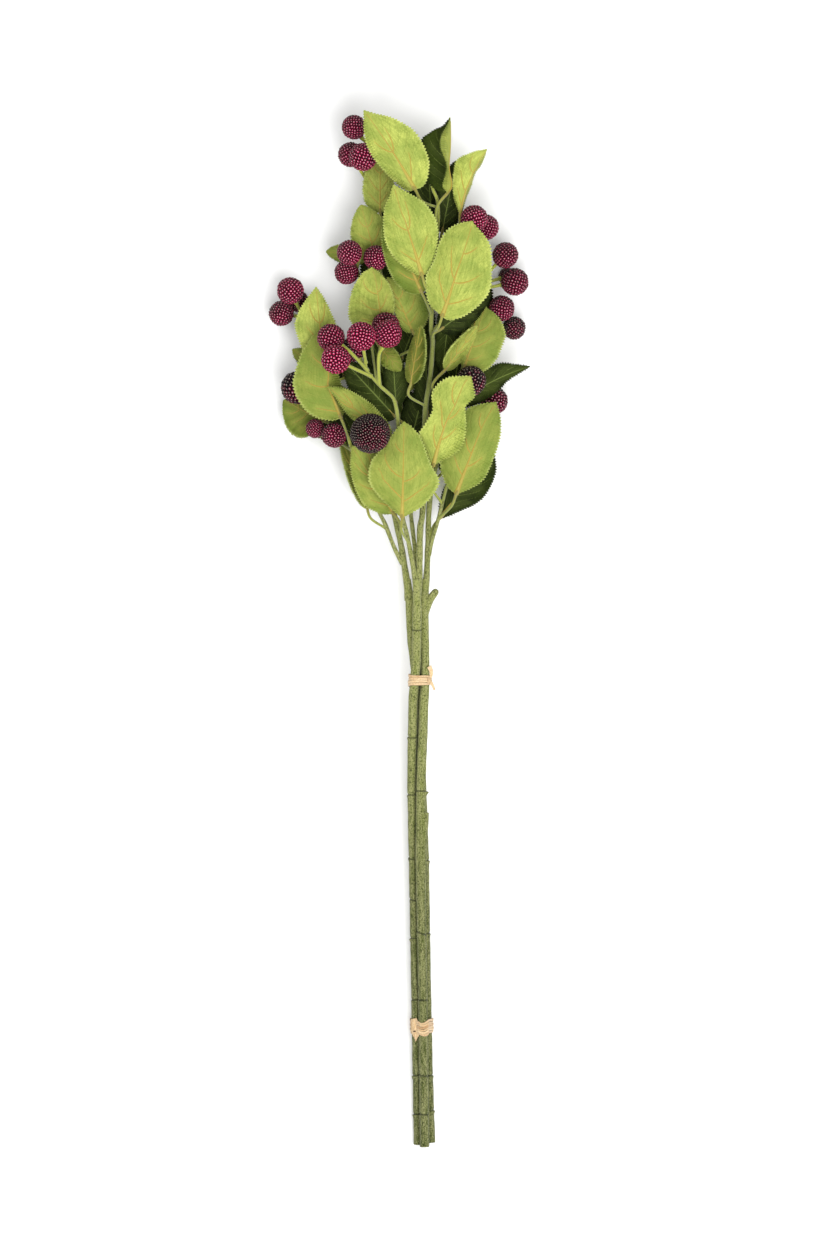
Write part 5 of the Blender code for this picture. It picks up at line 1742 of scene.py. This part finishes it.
    def add_fold(self, piece: Piece) -> None:
        """Add the strand folded over the band to a point below it, and its small hole with a painted shadow
        in it.
        """
        stops = [(x, self.place + rise, self.over(x, self.place + rise), half) for rise, x, half in FOLD]
        made = smooth_through(stops, 36)
        outward = unit(np.array((-0.25, 0.0, 1.0)))
        wide = np.clip(made[:, 3], 0.15, None)
        high = np.minimum(0.42, 0.2 + wide * 0.3)
        ribbing = np.abs(np.cos(np.linspace(0.0, 3.0 * math.tau, 18, endpoint=False)))
        mark = np.broadcast_to(np.clip(ribbing - 0.8, 0.0, 1.0)[None, :] * 1.6, (len(made), 18))
        piece.add_tube(made[:, :3], wide, high, 18, np.full(len(made), 0.6), mark,
                       normals=np.tile(outward, (len(made), 1)))
        sideways = np.cross((0.0, 1.0, 0.0), outward)
        crease = made[2:28, :3] + sideways * wide[2:28, None] * 0.9 + outward * 0.15
        count = len(crease)
        half = np.full(count, 0.4)
        piece.add_tube(crease, half, half, 8, np.full(count, 0.95), np.full(count, 0.05))
        side, rise = FOLD_HOLE
        row = int(np.argmin(np.abs(made[:, 1] - self.place - rise)))
        centre = made[row, :3] + sideways * side + outward * 0.4
        turns = np.linspace(0.0, math.tau, 20, endpoint=False)[:, None]
        ring = centre + sideways * np.cos(turns) * 1.2 + np.array((0.0, 1.0, 0.0)) * np.sin(turns) * 0.72
        piece.add_tube(ring, np.full(20, 0.3), np.full(20, 0.26), 8, np.full(20, 0.7), np.full(20, 0.2),
                       normals=np.tile(outward, (20, 1)), closed=True)
        # Painted shadow: a dark disc inside the hole's ring
        dark = np.vstack((centre + outward * 0.02, centre + outward * 0.18))
        piece.add_tube(dark, np.full(2, 1.1), np.full(2, 0.62), 14, np.zeros(2), np.full(2, 1.3),
                       normals=np.tile((0.0, 1.0, 0.0), (2, 1)))


# Stage

@dataclass
class Studio:
    """The floor, the lights and the camera, which looks straight down on the bunch."""

    lens: float = 350.0
    frame_height: float = 0.82368
    aim: Point = (0.0112, 0.0043, 0.04)
    sensor: float = 36.0
    sky: float = 0.4
    floor_reach: float = 6.0
    clip_end: float = 60.0
    lit_from_aim: Point = (0.0, 0.15, 0.0)
    lights: tuple[tuple[str, Point, float, float], ...] = (
        ("key", (0.55, -0.5, 1.9), 1.8, 50.0), ("fill", (-1.0, 0.8, 1.7), 1.8, 18.0))

    def build(self, finish: bpy.types.Material) -> None:
        """Build the stage.

        Args:
            finish: The floor's material.
        """
        bpy.context.scene.view_settings.view_transform = "Standard"
        self.add_floor(finish)
        self.add_camera()
        for light in self.lights:
            self.add_light(*light)
        world = bpy.data.worlds.new("studio")
        world.use_nodes = True
        backdrop = world.node_tree.nodes["Background"]
        backdrop.inputs[0].default_value = (1.0, 1.0, 1.0, 1.0)
        backdrop.inputs[1].default_value = self.sky
        bpy.context.scene.world = world

    def add_floor(self, finish: bpy.types.Material) -> None:
        """Add the floor that the bunch lies on."""
        mesh = bpy.data.meshes.new("floor")
        reach = self.floor_reach
        corners = [(-reach, -reach, 0.0), (reach, -reach, 0.0), (reach, reach, 0.0), (-reach, reach, 0.0)]
        mesh.from_pydata(corners, [], [(0, 1, 2, 3)])
        mesh.materials.append(finish)
        floor = bpy.data.objects.new("floor", mesh)
        bpy.context.scene.collection.objects.link(floor)

    def add_camera(self) -> None:
        """Add the camera above the bunch."""
        data = bpy.data.cameras.new("camera")
        data.lens = self.lens
        data.sensor_width = self.sensor
        data.sensor_fit = "AUTO"
        data.clip_end = self.clip_end
        camera = bpy.data.objects.new("camera", data)
        height = self.frame_height * self.lens / self.sensor
        camera.location = (self.aim[0], self.aim[1], self.aim[2] + height)
        bpy.context.scene.collection.objects.link(camera)
        bpy.context.scene.camera = camera

    def add_light(self, name: str, place: Point, size: float, power: float) -> None:
        """Add a large soft light that faces the bunch.

        Args:
            name: The light's name.
            place: Where it hangs.
            size: Its diameter.
            power: Its power in watts.
        """
        data = bpy.data.lights.new(name, "AREA")
        data.shape = "DISK"
        data.size = size
        data.energy = power
        light = bpy.data.objects.new(name, data)
        light.location = place
        aim = Vector(self.aim) + Vector(self.lit_from_aim)
        light.rotation_euler = (aim - light.location).to_track_quat("-Z", "Y").to_euler()
        bpy.context.scene.collection.objects.link(light)


@dataclass
class Bunch:
    """The whole bunch: its leafy stems, berries and ties."""

    chance: random.Random = field(default_factory=lambda: random.Random(SEED))

    def finishes(self) -> dict[str, bpy.types.Material]:
        """Every material, by name."""
        groups = {"fibres": fibre_group(), "leaf_marks": leaf_mark_group(), "mottle": mottle_group()}
        return {"pale": PALE_BLADE.make(groups), "dark": DARK_BLADE.make(groups), "rib": RIB.make(groups),
                "stem": STEM.make(groups), "stalk": STALK.make(groups), "beads": BEADS.make(groups),
                "raffia": RAFFIA.make(groups), "floor": FLOOR.make(groups)}

    def ties(self) -> tuple[RaffiaTie, RaffiaTie]:
        """The narrow tie under the leafy heads and the wide one near the cut ends."""
        upper = RaffiaTie(
            "tie_upper", -32.9, (Wind(0.0, -2.7, 2.5), Wind(90.0, -3.4, 3.4), Wind(180.0, -4.1, 4.2),
                                 Wind(270.0, -3.4, 3.4)), 4, 44.0,
            (Tail(((0.0, 0.0, 0.2), (0.9, 3.4, 0.6), (0.4, 6.3, 1.0), (-1.5, 9.2, 1.2)), (0.8, 1.6),
                  (0.3, 0.0, 1.0)),
             Tail(((0.0, 0.0, 0.2), (0.8, -2.4, 1.4), (1.2, -4.4, 2.4), (1.4, -6.4, 3.2)), (1.1, 0.7),
                  (0.2, 0.0, 1.0))), random.Random(5))
        lower = RaffiaTie(
            "tie_lower", -262.4, (Wind(0.0, -2.8, 5.6), Wind(40.0, -5.4, 4.4), Wind(75.0, -6.2, 3.1),
                                  Wind(110.0, -5.8, 2.6), Wind(180.0, -4.2, 5.4), Wind(270.0, -2.6, 5.6)),
            6, 122.0, (), random.Random(9), fold=True)
        return upper, lower

    def build(self, finishes: dict[str, bpy.types.Material]) -> None:
        """Build every piece, in place of the solid that it stands for.

        Args:
            finishes: The materials by name.
        """
        layout = random.Random(SEED)
        for name in STEMS:
            for piece in LeafyStem(name, layout, random.Random(self.chance.random())).build(finishes):
                self.settle(piece, f"leafy_stem_{name}", "foliage")
        shop = BerryShop(random.Random(SEED + 1))
        for name, berry in BERRIES.items():
            self.settle(shop.build(name, berry, finishes["beads"]), name, "berry")
        for tie in self.ties():
            self.settle(tie.build(finishes["raffia"]), tie.name, "raffia")

    @staticmethod
    def settle(piece: bpy.types.Object, node: str, slot: str) -> None:
        """Let a piece ride on the one body and take a node's place."""
        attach(piece, "root")
        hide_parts(node)
        LOG.info("%s stands for %s with %d faces", piece.name, node, len(piece.data.polygons))


def main() -> None:
    """Build the dressed model on its frame."""
    logging.basicConfig(level=logging.INFO, format="%(name)s: %(message)s")
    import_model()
    bunch = Bunch()
    finishes = bunch.finishes()
    Studio().build(finishes["floor"])
    bunch.build(finishes)
    bpy.context.view_layer.update()


if __name__ == "__main__":
    main()
